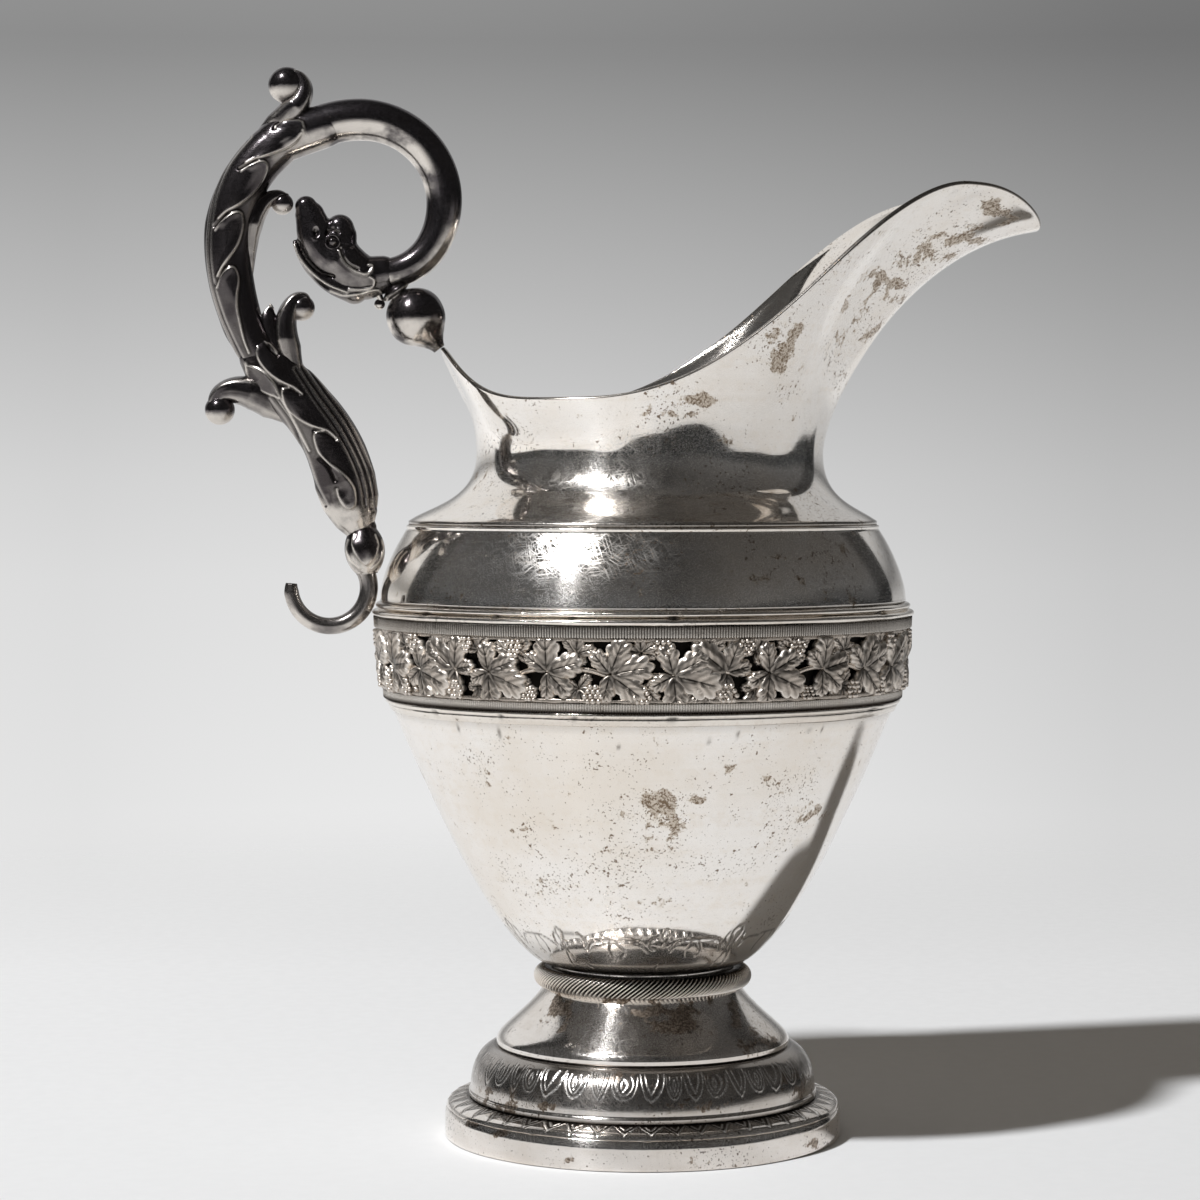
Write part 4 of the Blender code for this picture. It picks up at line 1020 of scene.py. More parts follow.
def round_ends(path, half, depth, steps=7):
    """Adds rows that close a tube with round ends: first at its start, then, turned round, at its end."""
    path, half, depth = (np.asarray(part, float) for part in (path, half, depth))
    slant = np.linspace(0, 1.50, steps)[1:]
    for _ in range(2):
        way = (path[0] - path[1]) / np.linalg.norm(path[0] - path[1])
        extra = path[0] + way * half[0] * np.sin(slant)[:, None]
        path = np.vstack([extra[::-1], path])[::-1]
        half, depth = (np.append((size[0] * np.cos(slant))[::-1], size)[::-1] for size in (half, depth))
    return path, half, depth


def high_view(spots, depth=4.0):
    """Places read off the photo's handle top, enlarged 5.6 times from the corner 190, 60."""
    return from_picture(np.asarray(spots, float) / 5.6 + (190, 60), depth)


def low_view(spots, depth=4.5):
    """Places read off the photo's handle foot, enlarged 4.355 times from the corner 190, 290."""
    return from_picture(np.asarray(spots, float) / 4.355 + (190, 290), depth)


def inside_line(points, line):
    """Which flat points lie inside the outline, closed by a straight run from its end to its start."""
    within = np.zeros(len(points), bool)
    for start, end in zip(line, np.roll(line, -1, axis=0)):
        crosses = (start[1] > points[:, 1]) != (end[1] > points[:, 1])
        rise = end[1] - start[1]
        rise = rise if abs(rise) > 1e-9 else 1e-9
        border = start[0] + (points[:, 1] - start[1]) / rise * (end[0] - start[0])
        within ^= crosses & (points[:, 0] < border)
    return within


def leaf_relief(outlines, slits, ribs, rib_depth, patina):
    """Leaf lobes with raised edges and sunk slits beside them, and grooves between ribs, on both flanks."""
    def relief(points, turn):
        flat = points[:, :, [0, 2]].reshape(-1, 2)
        shown = ease(0.10, 0.45, np.abs(np.sin(turn)))
        rise, rub = np.zeros(turn.shape), np.zeros(turn.shape)
        grime = patina * ease(182.0, 168.0, points[:, :, 2])
        for line in outlines:
            away = line_distance(flat, line).reshape(turn.shape)
            within = inside_line(flat, line).reshape(turn.shape)
            base = line_distance(flat, line[[0, -1]]).reshape(turn.shape)
            plate = within * ease(0.0, 2.2, base) * shown
            rise = np.maximum(rise, plate * (0.42 * ease(-0.1, 0.25, away) - 0.12 * ease(0.3, 1.3, away)))
            rise = rise + 0.20 * bump(away, 0.17) * shown
            rub = np.maximum(rub, bump(away, 0.18) * shown)
            grime = np.maximum(grime, 0.9 * ~within * bump(away - 0.40, 0.30) * shown)
        for line in slits:
            away = line_distance(flat, line).reshape(turn.shape)
            rise = rise - 0.40 * bump(away, 0.26) * shown
            grime = np.maximum(grime, bump(away, 0.34) * shown)
        for line in ribs:
            away = line_distance(flat, line).reshape(turn.shape)
            rise = rise - rib_depth * bump(away, 0.24)
            rub = np.maximum(rub, 0.40 * bump(away - 0.5, 0.22))
            grime = np.maximum(grime, 0.8 * bump(away, 0.24))
        return rise, 0.9 * rub, np.clip(grime - rub, 0, 1)
    return relief


# Ball on the rim
BALL_RADIUS = 5.45
BALL_LEAN = math.radians(127)
rim_back = np.array((-RIM_BACK, NECK_LOW + 32.1))
ball_way = np.array((math.cos(BALL_LEAN), math.sin(BALL_LEAN)))
ball_middle = rim_back + 7.65 * ball_way
ball_polar = np.linspace(-0.90, 1.25, 34)
ball_profile = [(-7.3, 1.15), (-6.8, 1.3), (-6.2, 1.65), (-5.5, 2.2), (-4.9, 2.8)]
ball_profile += [(BALL_RADIUS * math.sin(polar), BALL_RADIUS * math.cos(polar)) for polar in ball_polar]
ball_profile += [(5.35, 2.3), (5.6, 2.75), (6.0, 2.9), (6.4, 2.6), (6.8, 2.0), (7.3, 1.8)]
ball_profile = np.array(ball_profile)


def ball_marks(points, turn):
    along = ball_profile[:, :1] + 0 * turn
    soil_and_shade = np.maximum(ease(4.4, 5.5, along), 0.8 * ease(-4.7, -5.5, along))
    streaks = 0.75 + 0.25 * np.sin(5 * turn + 2 * along)
    return 0.05 * np.sin(3 * turn + along), 0 * turn, 0.85 * soil_and_shade * streaks


add_piece("rim_ball", [swept(
    ball_middle + ball_profile[:, :1] * ball_way, ball_profile[:, 1], ball_profile[:, 1], 56, ball_marks
)], "handle_silver")

# Leaf lobes on the stem, and the slits and ribs beside them
STEM_OUTLINES = [high_view(smooth_line(spots, 8)) for spots in (
    [(478, 380), (482, 362), (520, 345), (580, 338), (625, 345), (636, 372), (622, 418), (585, 462),
     (520, 500), (440, 530), (370, 550), (312, 575)],
    [(285, 622), (330, 590), (380, 568), (420, 570), (431, 600), (415, 650), (380, 710), (330, 765),
     (270, 810), (205, 845), (158, 885)],
    [(140, 950), (175, 905), (220, 865), (270, 850), (291, 870), (295, 925), (280, 990), (255, 1050),
     (215, 1110), (178, 1160), (152, 1210)],
    [(150, 1272), (170, 1215), (205, 1168), (242, 1160), (264, 1195), (270, 1245), (262, 1310), (262, 1380),
     (275, 1450), (300, 1560), (330, 1640)],
)]
STEM_SLITS = [high_view(smooth_line(spots, 8)) for spots in (
    [(470, 382), (490, 352), (540, 330), (590, 322)], [(275, 608), (318, 586), (372, 558)],
    [(134, 930), (165, 898), (215, 855)], [(142, 1250), (162, 1205), (200, 1158)],
)]
STEM_RIBS = [high_view(smooth_line(spots, 8), depth=2.0) for spots in (
    [(330, 430), (215, 580), (140, 760), (108, 940), (105, 1100), (125, 1260), (175, 1430), (230, 1560),
     (300, 1700)],
    [(290, 450), (180, 610), (112, 790), (85, 960), (82, 1100), (102, 1260), (150, 1430), (205, 1560),
     (270, 1700)],
)]

# Loop
loop_middle = rim_back + (-14.7, 27.1)
loop_turn = np.radians(np.linspace(127, -74, 150))
opening = np.maximum(loop_turn - math.radians(90), 0) / math.radians(32)
closing = np.maximum(math.radians(-30) - loop_turn, 0) / math.radians(38)
loop_reach = 15.3 + 0.6 * opening ** 2 - 1.3 * closing ** 2
loop_half = 2.8 + 1.1 * np.clip((loop_turn + math.radians(68)) / math.radians(158), 0, 1)
loop_path = loop_middle + loop_reach[:, None] * np.stack([np.cos(loop_turn), np.sin(loop_turn)], -1)


def loop_marks(points, turn):
    share = np.linspace(0, 1, len(points))[:, None]
    seam = bump(np.sin((turn - 0.9) / 2), 0.05) * 0.5 * ease(0.05, 0.1, share) * ease(0.5, 0.4, share)
    pits = ease(0.92, 1.0, np.sin(31 * share + 3 * np.sin(turn)) * np.sin(17 * share + 2 * turn)) * 0.6
    ends = np.maximum(0.3 * ease(0.10, 0.03, share), ease(0.93, 1.0, share))
    rise, rub, grime = leaf_relief(STEM_OUTLINES[:1], STEM_SLITS[:1], [], 0.0, 0.0)(points, turn)
    grime = np.clip(np.maximum(grime, seam + 0.5 * pits + 0.3 * ends) - rub, 0, 1)
    return rise + 0.05 * np.sin(9 * share + turn), rub, grime


add_piece("handle_loop", [swept(loop_path, loop_half, loop_half, 48, loop_marks)], "handle_silver")

# Stem
loop_root = loop_middle + 15.9 * np.array((math.cos(math.radians(122)), math.sin(math.radians(122))))
stem_end = rim_back + (-32.8, -1.4)


def bowed(start, end, share, bow):
    """A place between two points, pushed to the right of the way by the bow."""
    way = (end - start) / np.linalg.norm(end - start)
    right = np.array((way[1], -way[0]))
    return start + share[:, None] * (end - start) + bow[:, None] * right


stem_share = np.array((0.07, 0.12, 0.18, 0.25, 0.33, 0.42, 0.52, 0.62, 0.72, 0.82, 0.91, 1.0))
stem_bow = 11.2 * np.abs(np.sin(math.pi * stem_share ** 0.85)) ** 0.75
lead_turn = np.radians((104.0, 110.0, 116.0))
lead_path = loop_middle + 15.5 * np.stack([np.cos(lead_turn), np.sin(lead_turn)], -1)
stem_path = smooth_line(np.vstack([lead_path, bowed(loop_root, stem_end, stem_share, stem_bow)]), 22)
stem_along = np.linspace(0, 1, len(stem_path))
stem_half = np.interp(
    stem_along, (0, 0.10, 0.20, 0.45, 0.62, 0.80, 0.93, 1), (3.45, 3.8, 4.25, 4.4, 4.5, 4.2, 3.8, 3.5))
stem_depth = np.interp(stem_along, (0, 0.10, 0.20, 0.62, 0.80, 1), (3.5, 3.9, 4.15, 4.2, 3.9, 3.3))
add_piece("handle_stem", [swept(
    stem_path, stem_half, stem_depth, 150, leaf_relief(STEM_OUTLINES, STEM_SLITS, STEM_RIBS, 0.22, 0.3)
)], "handle_silver")

# Sheath
moulding_spot = np.array((-50.0, 96.85))
knot_top = moulding_spot + (-1.9, 14.6)
SHEATH_OUTLINES = [low_view(smooth_line(spots, 8)) for spots in (
    [(378, 272), (352, 240), (318, 222), (291, 232), (290, 275), (310, 322), (350, 368), (400, 402),
     (450, 422), (488, 452)],
    [(430, 424), (403, 434), (406, 472), (432, 522), (480, 565), (540, 595), (600, 612), (645, 655)],
    [(585, 612), (545, 622), (545, 660), (565, 712), (602, 752), (650, 787), (692, 828), (716, 872),
     (720, 930), (700, 952), (672, 940), (650, 905), (640, 865)],
    [(242, 325), (255, 380), (300, 430), (350, 455), (390, 470)],
    [(242, 325), (310, 348), (362, 400), (392, 462), (440, 545), (520, 700)],
)]
SHEATH_SLITS = [low_view(smooth_line(spots, 8)) for spots in (
    [(396, 412), (440, 432), (476, 452)], [(540, 606), (590, 622), (635, 650)], [(560, 730), (600, 770),
     (632, 830)],
    [(380, 285), (350, 262), (330, 240)],
)]
SHEATH_RIBS = [low_view(smooth_line(spots, 8), depth=2.5) for spots in (
    [(480, 330), (560, 450), (650, 575), (725, 710), (772, 830), (790, 950)],
    [(500, 320), (585, 440), (680, 570), (752, 710), (797, 830), (812, 950)],
    [(462, 345), (538, 465), (624, 585), (697, 715), (744, 830), (764, 940)],
    [(360, 470), (440, 580), (500, 720), (545, 850), (590, 940)],
)]
sheath_share = np.linspace(0.0, 1.0, 240)
sheath_path = bowed(stem_end, knot_top, sheath_share, -3.2 * np.abs(np.sin(math.pi * sheath_share)) ** 1.6)
sheath_size = np.interp(
    sheath_share, (0, 0.08, 0.21, 0.34, 0.49, 0.62, 0.75, 0.86, 0.95, 1),
    (0.72, 0.86, 0.92, 0.89, 0.93, 0.98, 1, 0.92, 0.70, 0.50))
leaflet_share = np.linspace(0, 1, 33)
leaflet_rows = round_ends(
    smooth_line(low_view([(420, 330), (385, 260), (355, 180), (345, 110), (352, 68)], 3.0), 8),
    np.interp(leaflet_share, (0, 0.35, 0.7, 1), (1.2, 1.9, 1.5, 0.35)),
    np.interp(leaflet_share, (0, 0.35, 0.7, 1), (2.2, 2.0, 1.4, 0.4)))
LEAFLET_LINES = [low_view(smooth_line(spots, 8)) for spots in (
    [(378, 272), (340, 225), (312, 170), (312, 110), (350, 62)], [(395, 240), (388, 150), (372, 90),
     (350, 62)],
)]
add_piece("handle_sheath", [
    swept(*round_ends(sheath_path, 5.7 * sheath_size, 4.7 * sheath_size), 150,
          leaf_relief(SHEATH_OUTLINES, SHEATH_SLITS, SHEATH_RIBS, 0.24, 0.2)),
    swept(*leaflet_rows, 48, leaf_relief(LEAFLET_LINES, [], [], 0.0, 0.3)),
], "handle_silver")

# Knot with petals, and the tail's hook
tail_middle = moulding_spot + (-7.6, 3.9)
tail_start = tail_middle + 7.1 * np.array((math.cos(math.radians(22)), math.sin(math.radians(22))))
knot_share = np.linspace(0, 1, 90)
knot_path = knot_top + (0.2, 0.6) + knot_share[:, None] * (tail_start - knot_top + (0.0, -0.8))
knot_half = 1.7 + 2.0 * np.sin(math.pi * knot_share.clip(0.02, 0.98)) ** 0.7
PETALS = [low_view(smooth_line(spots, 8), 3.5) for spots in (
    [(716, 1064), (708, 1105), (728, 1156), (766, 1196), (804, 1162), (818, 1113), (806, 1068)],
    [(690, 1090), (684, 1130), (702, 1176), (738, 1212)],
    [(836, 1090), (842, 1130), (826, 1176), (792, 1212)],
)]
add_piece("handle_knot", [swept(
    knot_path, knot_half, knot_half * 1.05, 120, leaf_relief(PETALS, [], [], 0.0, 0.35)
)], "handle_silver")


def tail_marks(points, turn):
    share = np.linspace(0, 1, len(points))[:, None]
    rise = 0.06 * np.sin(8 * turn) * ease(0.85, 1.0, share)
    return rise, 0 * turn + 0.2, 0.7 * ease(0.93, 1.0, share) + 0 * turn


tail_turn = np.radians(np.linspace(25, -186, 90))
tail_path = tail_middle + 7.1 * np.stack([np.cos(tail_turn), np.sin(tail_turn)], -1)
tail_half = np.interp(np.linspace(0, 1, 90), (0, 0.3, 0.75, 0.94, 1), (1.7, 1.65, 1.45, 1.35, 1.0))
add_piece("handle_tail", [swept(tail_path, tail_half, tail_half, 28, tail_marks)], "handle_silver")


# Leaf ends that roll over into beads
def curl(path, sizes, depth, bead, bead_radius):
    """A fluted ribbon of leaf that runs onto a bead."""
    line = smooth_line(path, 8)
    share = np.linspace(0, 1, len(line))
    half = np.interp(share, np.linspace(0, 1, len(sizes)), sizes)
    thick = np.interp(share, (0, 0.15, 0.35, 0.55, 1), depth * np.array((0.25, 0.65, 0.92, 0.75, 0.35)))

    def flute(points, turn):
        side = np.abs(np.sin(turn))
        rise = -0.30 * ease(0.75, 1.0, side) * half.max()
        along = np.linspace(0, 1, len(points))
        rise = rise * np.interp(along, (0, 0.2, 0.8, 1), (0.2, 0.6, 0.6, 0))[:, None]
        return rise, 0.5 * bump(side - 0.72, 0.08), 0.35 * ease(0.85, 1.0, side)

    rows = round_ends(line, half, thick, 6)
    polar = np.linspace(0.04, math.pi - 0.04, 26)[:, None]
    around = full_turn(36)
    ball = np.stack([
        np.sin(polar) * np.cos(around), np.cos(polar) + 0 * around, np.sin(polar) * np.sin(around)], -1)
    ball = ball * bead_radius + np.array((bead[0], 0.0, bead[1]))
    # A painted reflection of the pale floor on the bead's lower side
    bead_floor_reflection = 0.75 * ease(-0.10, -0.50, np.sin(polar) * np.sin(around))
    return [swept(*rows, 36, flute), grid(ball, capped=True, rub=bead_floor_reflection)]


# Name, view, line of the ribbon, its half widths and depth, and the bead's middle and radius
CURLS = (
    ("top_curl", high_view,
     [(420, 440), (490, 370), (560, 300), (618, 235), (640, 160), (615, 100), (565, 74), (525, 74)],
     (2.0, 2.6, 2.5, 2.0, 1.6, 1.2, 0.8, 0.5), 4.8, (542, 140), 3.4),
    ("inner_curl", high_view,
     [(330, 1200), (335, 1050), (352, 930), (388, 835), (438, 780), (492, 755), (540, 760)],
     (0.8, 1.4, 1.8, 1.8, 1.4, 1.0, 0.5), 3.6, (518, 806), 2.0),
    ("middle_curl", low_view,
     [(505, 480), (462, 365), (430, 255), (416, 165), (428, 95), (458, 45), (495, 30), (520, 45)],
     (0.5, 1.5, 2.3, 2.1, 1.8, 1.4, 0.9, 0.4), 4.2, (487, 78), 2.4),
    ("outer_curl", low_view,
     [(445, 552), (360, 490), (275, 450), (197, 436), (138, 448), (105, 485), (100, 520)],
     (1.7, 3.2, 3.1, 2.5, 1.8, 1.2, 0.5), 4.4, (130, 522), 2.75),
)
for name, view, line, sizes, depth, bead, bead_radius in CURLS:
    add_piece(name, curl(view(line, 0.0), sizes, depth, view([bead], 0.0)[0], bead_radius), "handle_silver")


# Beast's head: overlapping forms fused into one skin
def fused(shapes, voxel, rounds):
    """One skin round several closed forms, relaxed so that they flow into each other."""
    start = mesh_of("fusing", shapes)
    worker = bpy.data.objects.new("fusing", start)
    bpy.context.collection.objects.link(worker)
    blend = worker.modifiers.new("blend", "REMESH")
    blend.mode = "VOXEL"
    blend.voxel_size = voxel / 1000
    relax = worker.modifiers.new("relax", "SMOOTH")
    relax.factor = 0.5
    relax.iterations = rounds
    skin = worker.evaluated_get(bpy.context.evaluated_depsgraph_get()).to_mesh()
    points, normals = points_of(skin), normals_of(skin)
    corners = np.empty(len(skin.loops), np.int32)
    skin.loops.foreach_get("vertex_index", corners)
    worker.to_mesh_clear()
    bpy.data.objects.remove(worker)
    bpy.data.meshes.remove(start)
    return points, normals, corners.reshape(-1, 4)


def blob_run(spots, sizes, depths):
    line = smooth_line(high_view(spots, 0.0), 6)
    share = np.linspace(0, 1, len(line))
    knots = np.linspace(0, 1, len(sizes))
    return swept(*round_ends(line, np.interp(share, knots, sizes), np.interp(share, knots, depths)), 28)


# Skull, snout, nose, brow, jaw, throat and nape: the line of each, its half widths and its half depths
HEAD_FORMS = (
    ([(1075, 1195), (990, 1205), (905, 1175), (835, 1115), (805, 1050)], (3.3, 3.7, 4.2, 4.4, 3.7),
     (3.1, 3.5, 3.9, 3.9, 3.4)),
    ([(805, 1130), (748, 1078), (708, 1005), (690, 932), (672, 872)], (3.7, 3.55, 3.4, 3.2, 2.75),
     (3.5, 3.2, 2.9, 2.6, 2.3)),
    ([(668, 880), (656, 838), (650, 822)], (2.2, 2.15, 2.05), (2.2, 2.1, 2.0)),
    ([(832, 1026), (840, 958), (840, 942)], (3.3, 2.85, 2.6), (3.3, 2.8, 2.5)),
    ([(920, 1290), (800, 1255), (705, 1196), (640, 1125), (604, 1055), (588, 1020)],
     (2.6, 1.9, 1.25, 0.9, 0.65, 0.45), (2.7, 2.5, 2.1, 1.6, 1.1, 0.7)),
    ([(1080, 1235), (990, 1262), (900, 1262), (830, 1240)], (2.4, 2.7, 2.5, 2.0), (2.6, 2.9, 2.7, 2.2)),
    ([(846, 985), (852, 1050), (905, 1125), (985, 1182), (1085, 1195)], (2.9, 2.85, 2.7, 2.6, 2.8),
     (2.9, 2.9, 2.8, 2.7, 2.8)),
)
head_points, head_normals, head_quads = fused([blob_run(*form) for form in HEAD_FORMS], 0.2, 3)
HEAD_RIDGES = [high_view(smooth_line(spots, 8), 2.5) for spots in (
    [(835, 1070), (850, 1110), (880, 1150), (930, 1185), (985, 1200), (1015, 1180), (1020, 1155),
     (1000, 1150)],
    [(890, 1285), (960, 1285), (1020, 1270), (1030, 1235), (1005, 1215)],
    [(585, 1030), (618, 1108), (686, 1190), (776, 1258), (880, 1300)],
    [(785, 1290), (860, 1315), (940, 1310), (1010, 1290), (1060, 1290), (1085, 1330)],
)]
HEAD_CUTS = [high_view(smooth_line(spots, 8), 2.5) for spots in (
    [(606, 1020), (632, 1080), (672, 1140), (730, 1190), (800, 1215)],
    [(770, 1000), (770, 960), (800, 945), (830, 965)],
    [(845, 1060), (860, 1110), (890, 1150), (940, 1175)],
)]
nostril = high_view([(705, 965)], 2.5)[0]
head_flat = head_points[:, [0, 2]]
head_side = ease(0.2, 0.6, np.abs(head_normals[:, 1]))
head_rise, head_rub, head_grime = (np.zeros(len(head_points)) for _ in range(3))
for ridge in HEAD_RIDGES:
    away = line_distance(head_flat, ridge)
    head_rise = np.maximum(head_rise, 0.30 * bump(away, 0.24) * head_side)
    head_rub = np.maximum(head_rub, bump(away, 0.16) * head_side)
    head_grime = np.maximum(head_grime, 0.5 * bump(away - 0.5, 0.3) * head_side)
for cut in HEAD_CUTS:
    away = line_distance(head_flat, cut)
    head_rise = head_rise - 0.45 * bump(away, 0.28) * head_side
    head_grime = np.maximum(head_grime, bump(away, 0.32) * head_side)
pit_away = np.linalg.norm((head_flat - nostril) * (1.25, 0.8), axis=1)
head_rise = head_rise - 0.7 * bump(pit_away, 0.55) * head_side
head_rise = head_rise + 0.12 * bump(pit_away - 1.0, 0.25) * head_side
head_grime = np.maximum(head_grime, bump(pit_away, 0.5) * head_side)
head_points = head_points + head_rise[:, None] * head_normals
head_skin = shape_of(head_points, head_quads, (), head_rub, np.clip(head_grime - head_rub, 0, 1))
eye_spot = high_view([(798, 1018)], 3.2)[0]
eye_reach = np.abs(head_points[np.argmin(np.linalg.norm(head_flat - eye_spot, axis=1)), 1])
ring_turn = full_turn(36)
ring_round = full_turn(8)[:, None]
ring_radius = 1.25 + 0.26 * np.cos(ring_round)
eyes = []
for side in (-1.0, 1.0):
    eyes.append(small_ball((eye_spot[0], side * (eye_reach - 0.1), eye_spot[1]), 0.85, 14, 20))
    ring = np.stack([
        eye_spot[0] + ring_radius * np.cos(ring_turn),
        side * (eye_reach - 0.05) + 0.26 * np.sin(ring_round) + 0 * ring_turn,
        eye_spot[1] + ring_radius * np.sin(ring_turn),
    ], -1)
    eyes.append(grid(ring, loop=True))
add_piece("beast_head", [head_skin] + eyes, "handle_silver")

chin_spot = high_view([(1062, 1368)], 0.0)[0]
chin_share = np.linspace(0, 1, 13)
chin_rows = round_ends(
    smooth_line(high_view([(1000, 1290), (1050, 1310), (1070, 1345)], 0.0), 6),
    np.interp(chin_share, (0, 1), (0.9, 0.55)), np.interp(chin_share, (0, 1), (1.2, 0.7)))
add_piece("chin_bead", [swept(*chin_rows, 20), small_ball((chin_spot[0], 0.0, chin_spot[1]), 1.0, 14, 20)],
          "handle_silver")

# Lamp and floor
scene = bpy.context.scene
scene.view_settings.view_transform = "Standard"


def studio_spot(right, ahead, up):
    """A place in metres: right of the jug and ahead of it as the camera looks, and above the floor."""
    spot = SIDEWAYS * right + FORWARD * ahead
    return (AXIS_X + spot[0], spot[1], up)


lamp = bpy.data.lights.new("key", "AREA")
lamp.shape = "DISK"
lamp.size = 0.14
lamp.energy = 41.0
lamp.color = (0.965, 0.98, 1.0)
lamp_holder = bpy.data.objects.new("key", lamp)
bpy.context.collection.objects.link(lamp_holder)
lamp_holder.location = studio_spot(-0.83, -0.83, 1.62)
lamp_way = np.array(studio_spot(0.0, 0.0, 0.08)) - np.array(lamp_holder.location)
lamp_tilt = math.atan2(math.hypot(lamp_way[0], lamp_way[1]), -lamp_way[2])
lamp_holder.rotation_euler = (lamp_tilt, 0.0, math.atan2(lamp_way[1], lamp_way[0]) - math.pi / 2)

FLOOR_RADIUS = 1.1
FLOOR_RINGS = 23
FLOOR_COLUMNS = 96
floor_reach = np.linspace(0, FLOOR_RADIUS, FLOOR_RINGS + 1)[1:, None]
floor_turn = full_turn(FLOOR_COLUMNS)
floor_points = np.stack([
    floor_reach * np.cos(floor_turn), floor_reach * np.sin(floor_turn), 0 * floor_reach * floor_turn,
], -1).reshape(-1, 3)
floor_mesh = bpy.data.meshes.new("floor")
floor_faces = [tuple(range(FLOOR_COLUMNS))]
for near in range(0, (FLOOR_RINGS - 1) * FLOOR_COLUMNS, FLOOR_COLUMNS):
    far = near + FLOOR_COLUMNS
    for column in range(FLOOR_COLUMNS):
        beside = (column + 1) % FLOOR_COLUMNS
        floor_faces.append((near + column, far + column, far + beside, near + beside))
floor_mesh.from_pydata(floor_points.tolist(), [], floor_faces)
floor = bpy.data.objects.new("floor", floor_mesh)
floor.location = (AXIS_X, 0.0, -0.0001)
bpy.context.collection.objects.link(floor)


def dot(tree, direction, way):
    return node(tree, "VectorMath", way, tuple(direction), operation="DOT_PRODUCT").outputs["Value"]


def grey(level, warm=1.0):
    return (level, level * (1 + warm) / 2, level * warm)


# Pale paper that thins out into the backdrop
paper = bpy.data.materials.new("paper")
paper.use_nodes = True
tree = paper.node_tree
tree.nodes.clear()
place = node(tree, "TexCoord").outputs["Object"]
thinning = soft_step(tree, node(tree, "VectorMath", place, operation="LENGTH").outputs["Value"], 0.20, 0.62)
ahead = node(tree, "MapRange", dot(tree, FORWARD, place), -0.06, 0.20).outputs["Result"]
speckle = combine(tree, "MULTIPLY", noise_mask(tree, place, 300.0, 0.3, 0.7), 0.10)
paper_tone = tint(tree, speckle, tint(tree, ahead, grey(0.80), grey(0.93)), grey(0.70))
paper_lit = node(tree, "BsdfDiffuse", paper_tone).outputs["BSDF"]
paper_clear = node(tree, "BsdfTransparent").outputs["BSDF"]
node(tree, "OutputMaterial", node(tree, "MixShader", thinning, paper_lit, paper_clear).outputs["Shader"])
floor_mesh.materials.append(paper)

# Pale sweep behind and below, dark room in front and above
world = bpy.data.worlds.new("studio")
scene.world = world
world.use_nodes = True
sky = world.node_tree
sky.nodes.clear()


def sky_math(operation, *values):
    return node(sky, "Math", *values, operation=operation).outputs[0]


def sky_ramp(value, low, high, stops):
    """Tones over a range of the value, through the given stops."""
    ramp = node(sky, "ValToRGB", node(sky, "MapRange", value, low, high).outputs["Result"])
    while len(ramp.color_ramp.elements) < len(stops):
        ramp.color_ramp.elements.new(0.5)
    for element, (place, *tone) in zip(ramp.color_ramp.elements, stops):
        element.position = (place - low) / (high - low)
        element.color = (*grey(*tone), 1.0)
    return ramp.outputs["Color"]


way = node(sky, "TexCoord").outputs["Generated"]
height = node(sky, "SeparateXYZ", way).outputs["Z"]
flat_way = node(sky, "VectorMath", way, (1.0, 1.0, 0.0), operation="MULTIPLY").outputs["Vector"]
heading = node(sky, "VectorMath", flat_way, operation="NORMALIZE").outputs["Vector"]
backdrop = sky_ramp(height, -0.30, 1.0, (
    (-0.30, 0.86), (-0.17, 0.84), (-0.13, 0.785), (-0.10, 0.72), (-0.03, 0.645), (0.0, 0.58), (0.055, 0.42),
    (0.13, 0.22), (0.17, 0.26), (0.30, 0.62), (0.72, 0.60), (0.90, 0.08)))
skyline = node(sky, "TexNoise", heading, Scale=1.6, Detail=0.0).outputs["Fac"]
room_height = sky_math("MULTIPLY_ADD", skyline, -0.34, height)
room = sky_ramp(room_height, -0.60, 0.80, (
    (-0.60, 0.80), (-0.28, 0.78), (-0.21, 0.74), (-0.20, 0.018, 1.2), (-0.08, 0.028, 1.15),
    (0.06, 0.075, 1.05), (0.28, 0.068), (0.63, 0.05)))
room_above = sky_ramp(room_height, -0.21, -0.20, ((-0.21, 0.0), (-0.20, 1.0)))
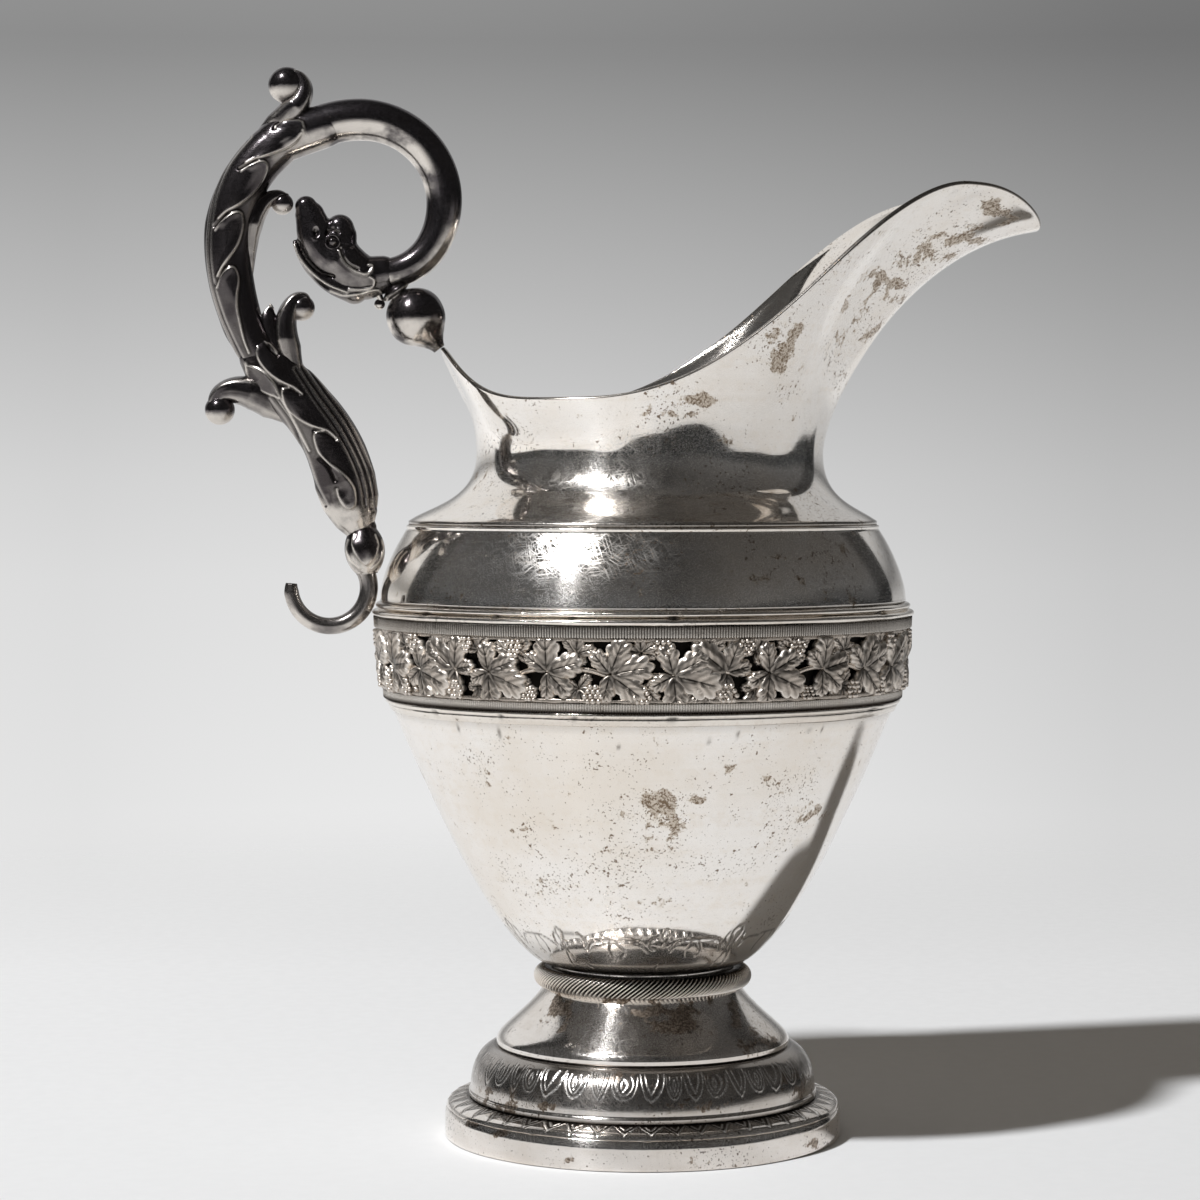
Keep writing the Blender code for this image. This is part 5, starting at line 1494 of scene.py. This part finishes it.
room_side = sky_ramp(dot(sky, SIDEWAYS, heading), -1.0, 1.0, (
    (-1.0, 0.9), (0.25, 0.85), (0.75, 1.6, 0.95), (1.0, 1.5, 0.95)))
BACK_TURN = math.radians(6.5)
behind = dot(sky, FORWARD * math.cos(BACK_TURN) - SIDEWAYS * math.sin(BACK_TURN), heading)
room_edge = sky_ramp(behind, 0.0, 1.0, ((0.0, 1.0), (0.42, 1.0), (0.50, 0.4), (1.0, 0.4)))
room_shade = room
for shade in (room_side, room_edge):
    room_shade = tint(sky, 1.0, room_shade, shade, "MULTIPLY")
room = tint(sky, room_above, room, room_shade)
shown = tint(sky, soft_step(sky, behind, 0.655, 0.678), room, backdrop)

# Brighter on the left, and in the middle of the picture
side = dot(sky, SIDEWAYS, way)
lean_size = node(sky, "MapRange", height, -0.15, 0.14, -0.25, -1.25).outputs["Result"]
lean = node(sky, "Clamp", sky_math("MULTIPLY_ADD", side, lean_size, 1.0), 0.75, 1.25).outputs["Result"]
glow = node(sky, "MapRange", sky_math("MULTIPLY", side, side), 0.0, 0.024, 1.12, 1.0).outputs["Result"]
mirrored = node(sky, "Background", shown, sky_math("MULTIPLY", lean, glow)).outputs["Background"]
ambient = node(sky, "Background", (1.0, 0.92, 0.82, 1.0), 0.125).outputs["Background"]
ray = node(sky, "LightPath").outputs
seen = reduce(partial(combine, sky, "MAXIMUM"), [
    ray["Is Camera Ray"], ray["Is Glossy Ray"], ray["Is Transmission Ray"]])
node(sky, "OutputWorld", node(sky, "MixShader", seen, ambient, mirrored).outputs["Shader"])

lens = bpy.data.cameras.new("camera")
lens.lens = CAMERA_LENS
lens.sensor_width = 36.0
lens.shift_y = (HORIZON - PICTURE_MIDDLE) / PICTURE
lens.clip_start = 0.01
camera = bpy.data.objects.new("camera", lens)
bpy.context.collection.objects.link(camera)
camera.location = studio_spot(
    -AXIS_OFFSET * MM_PER_PIXEL / 1000, -CAMERA_DISTANCE / 1000, CAMERA_HEIGHT / 1000)
camera.rotation_euler = (math.pi / 2, 0.0, -JUG_TURN)
scene.camera = camera
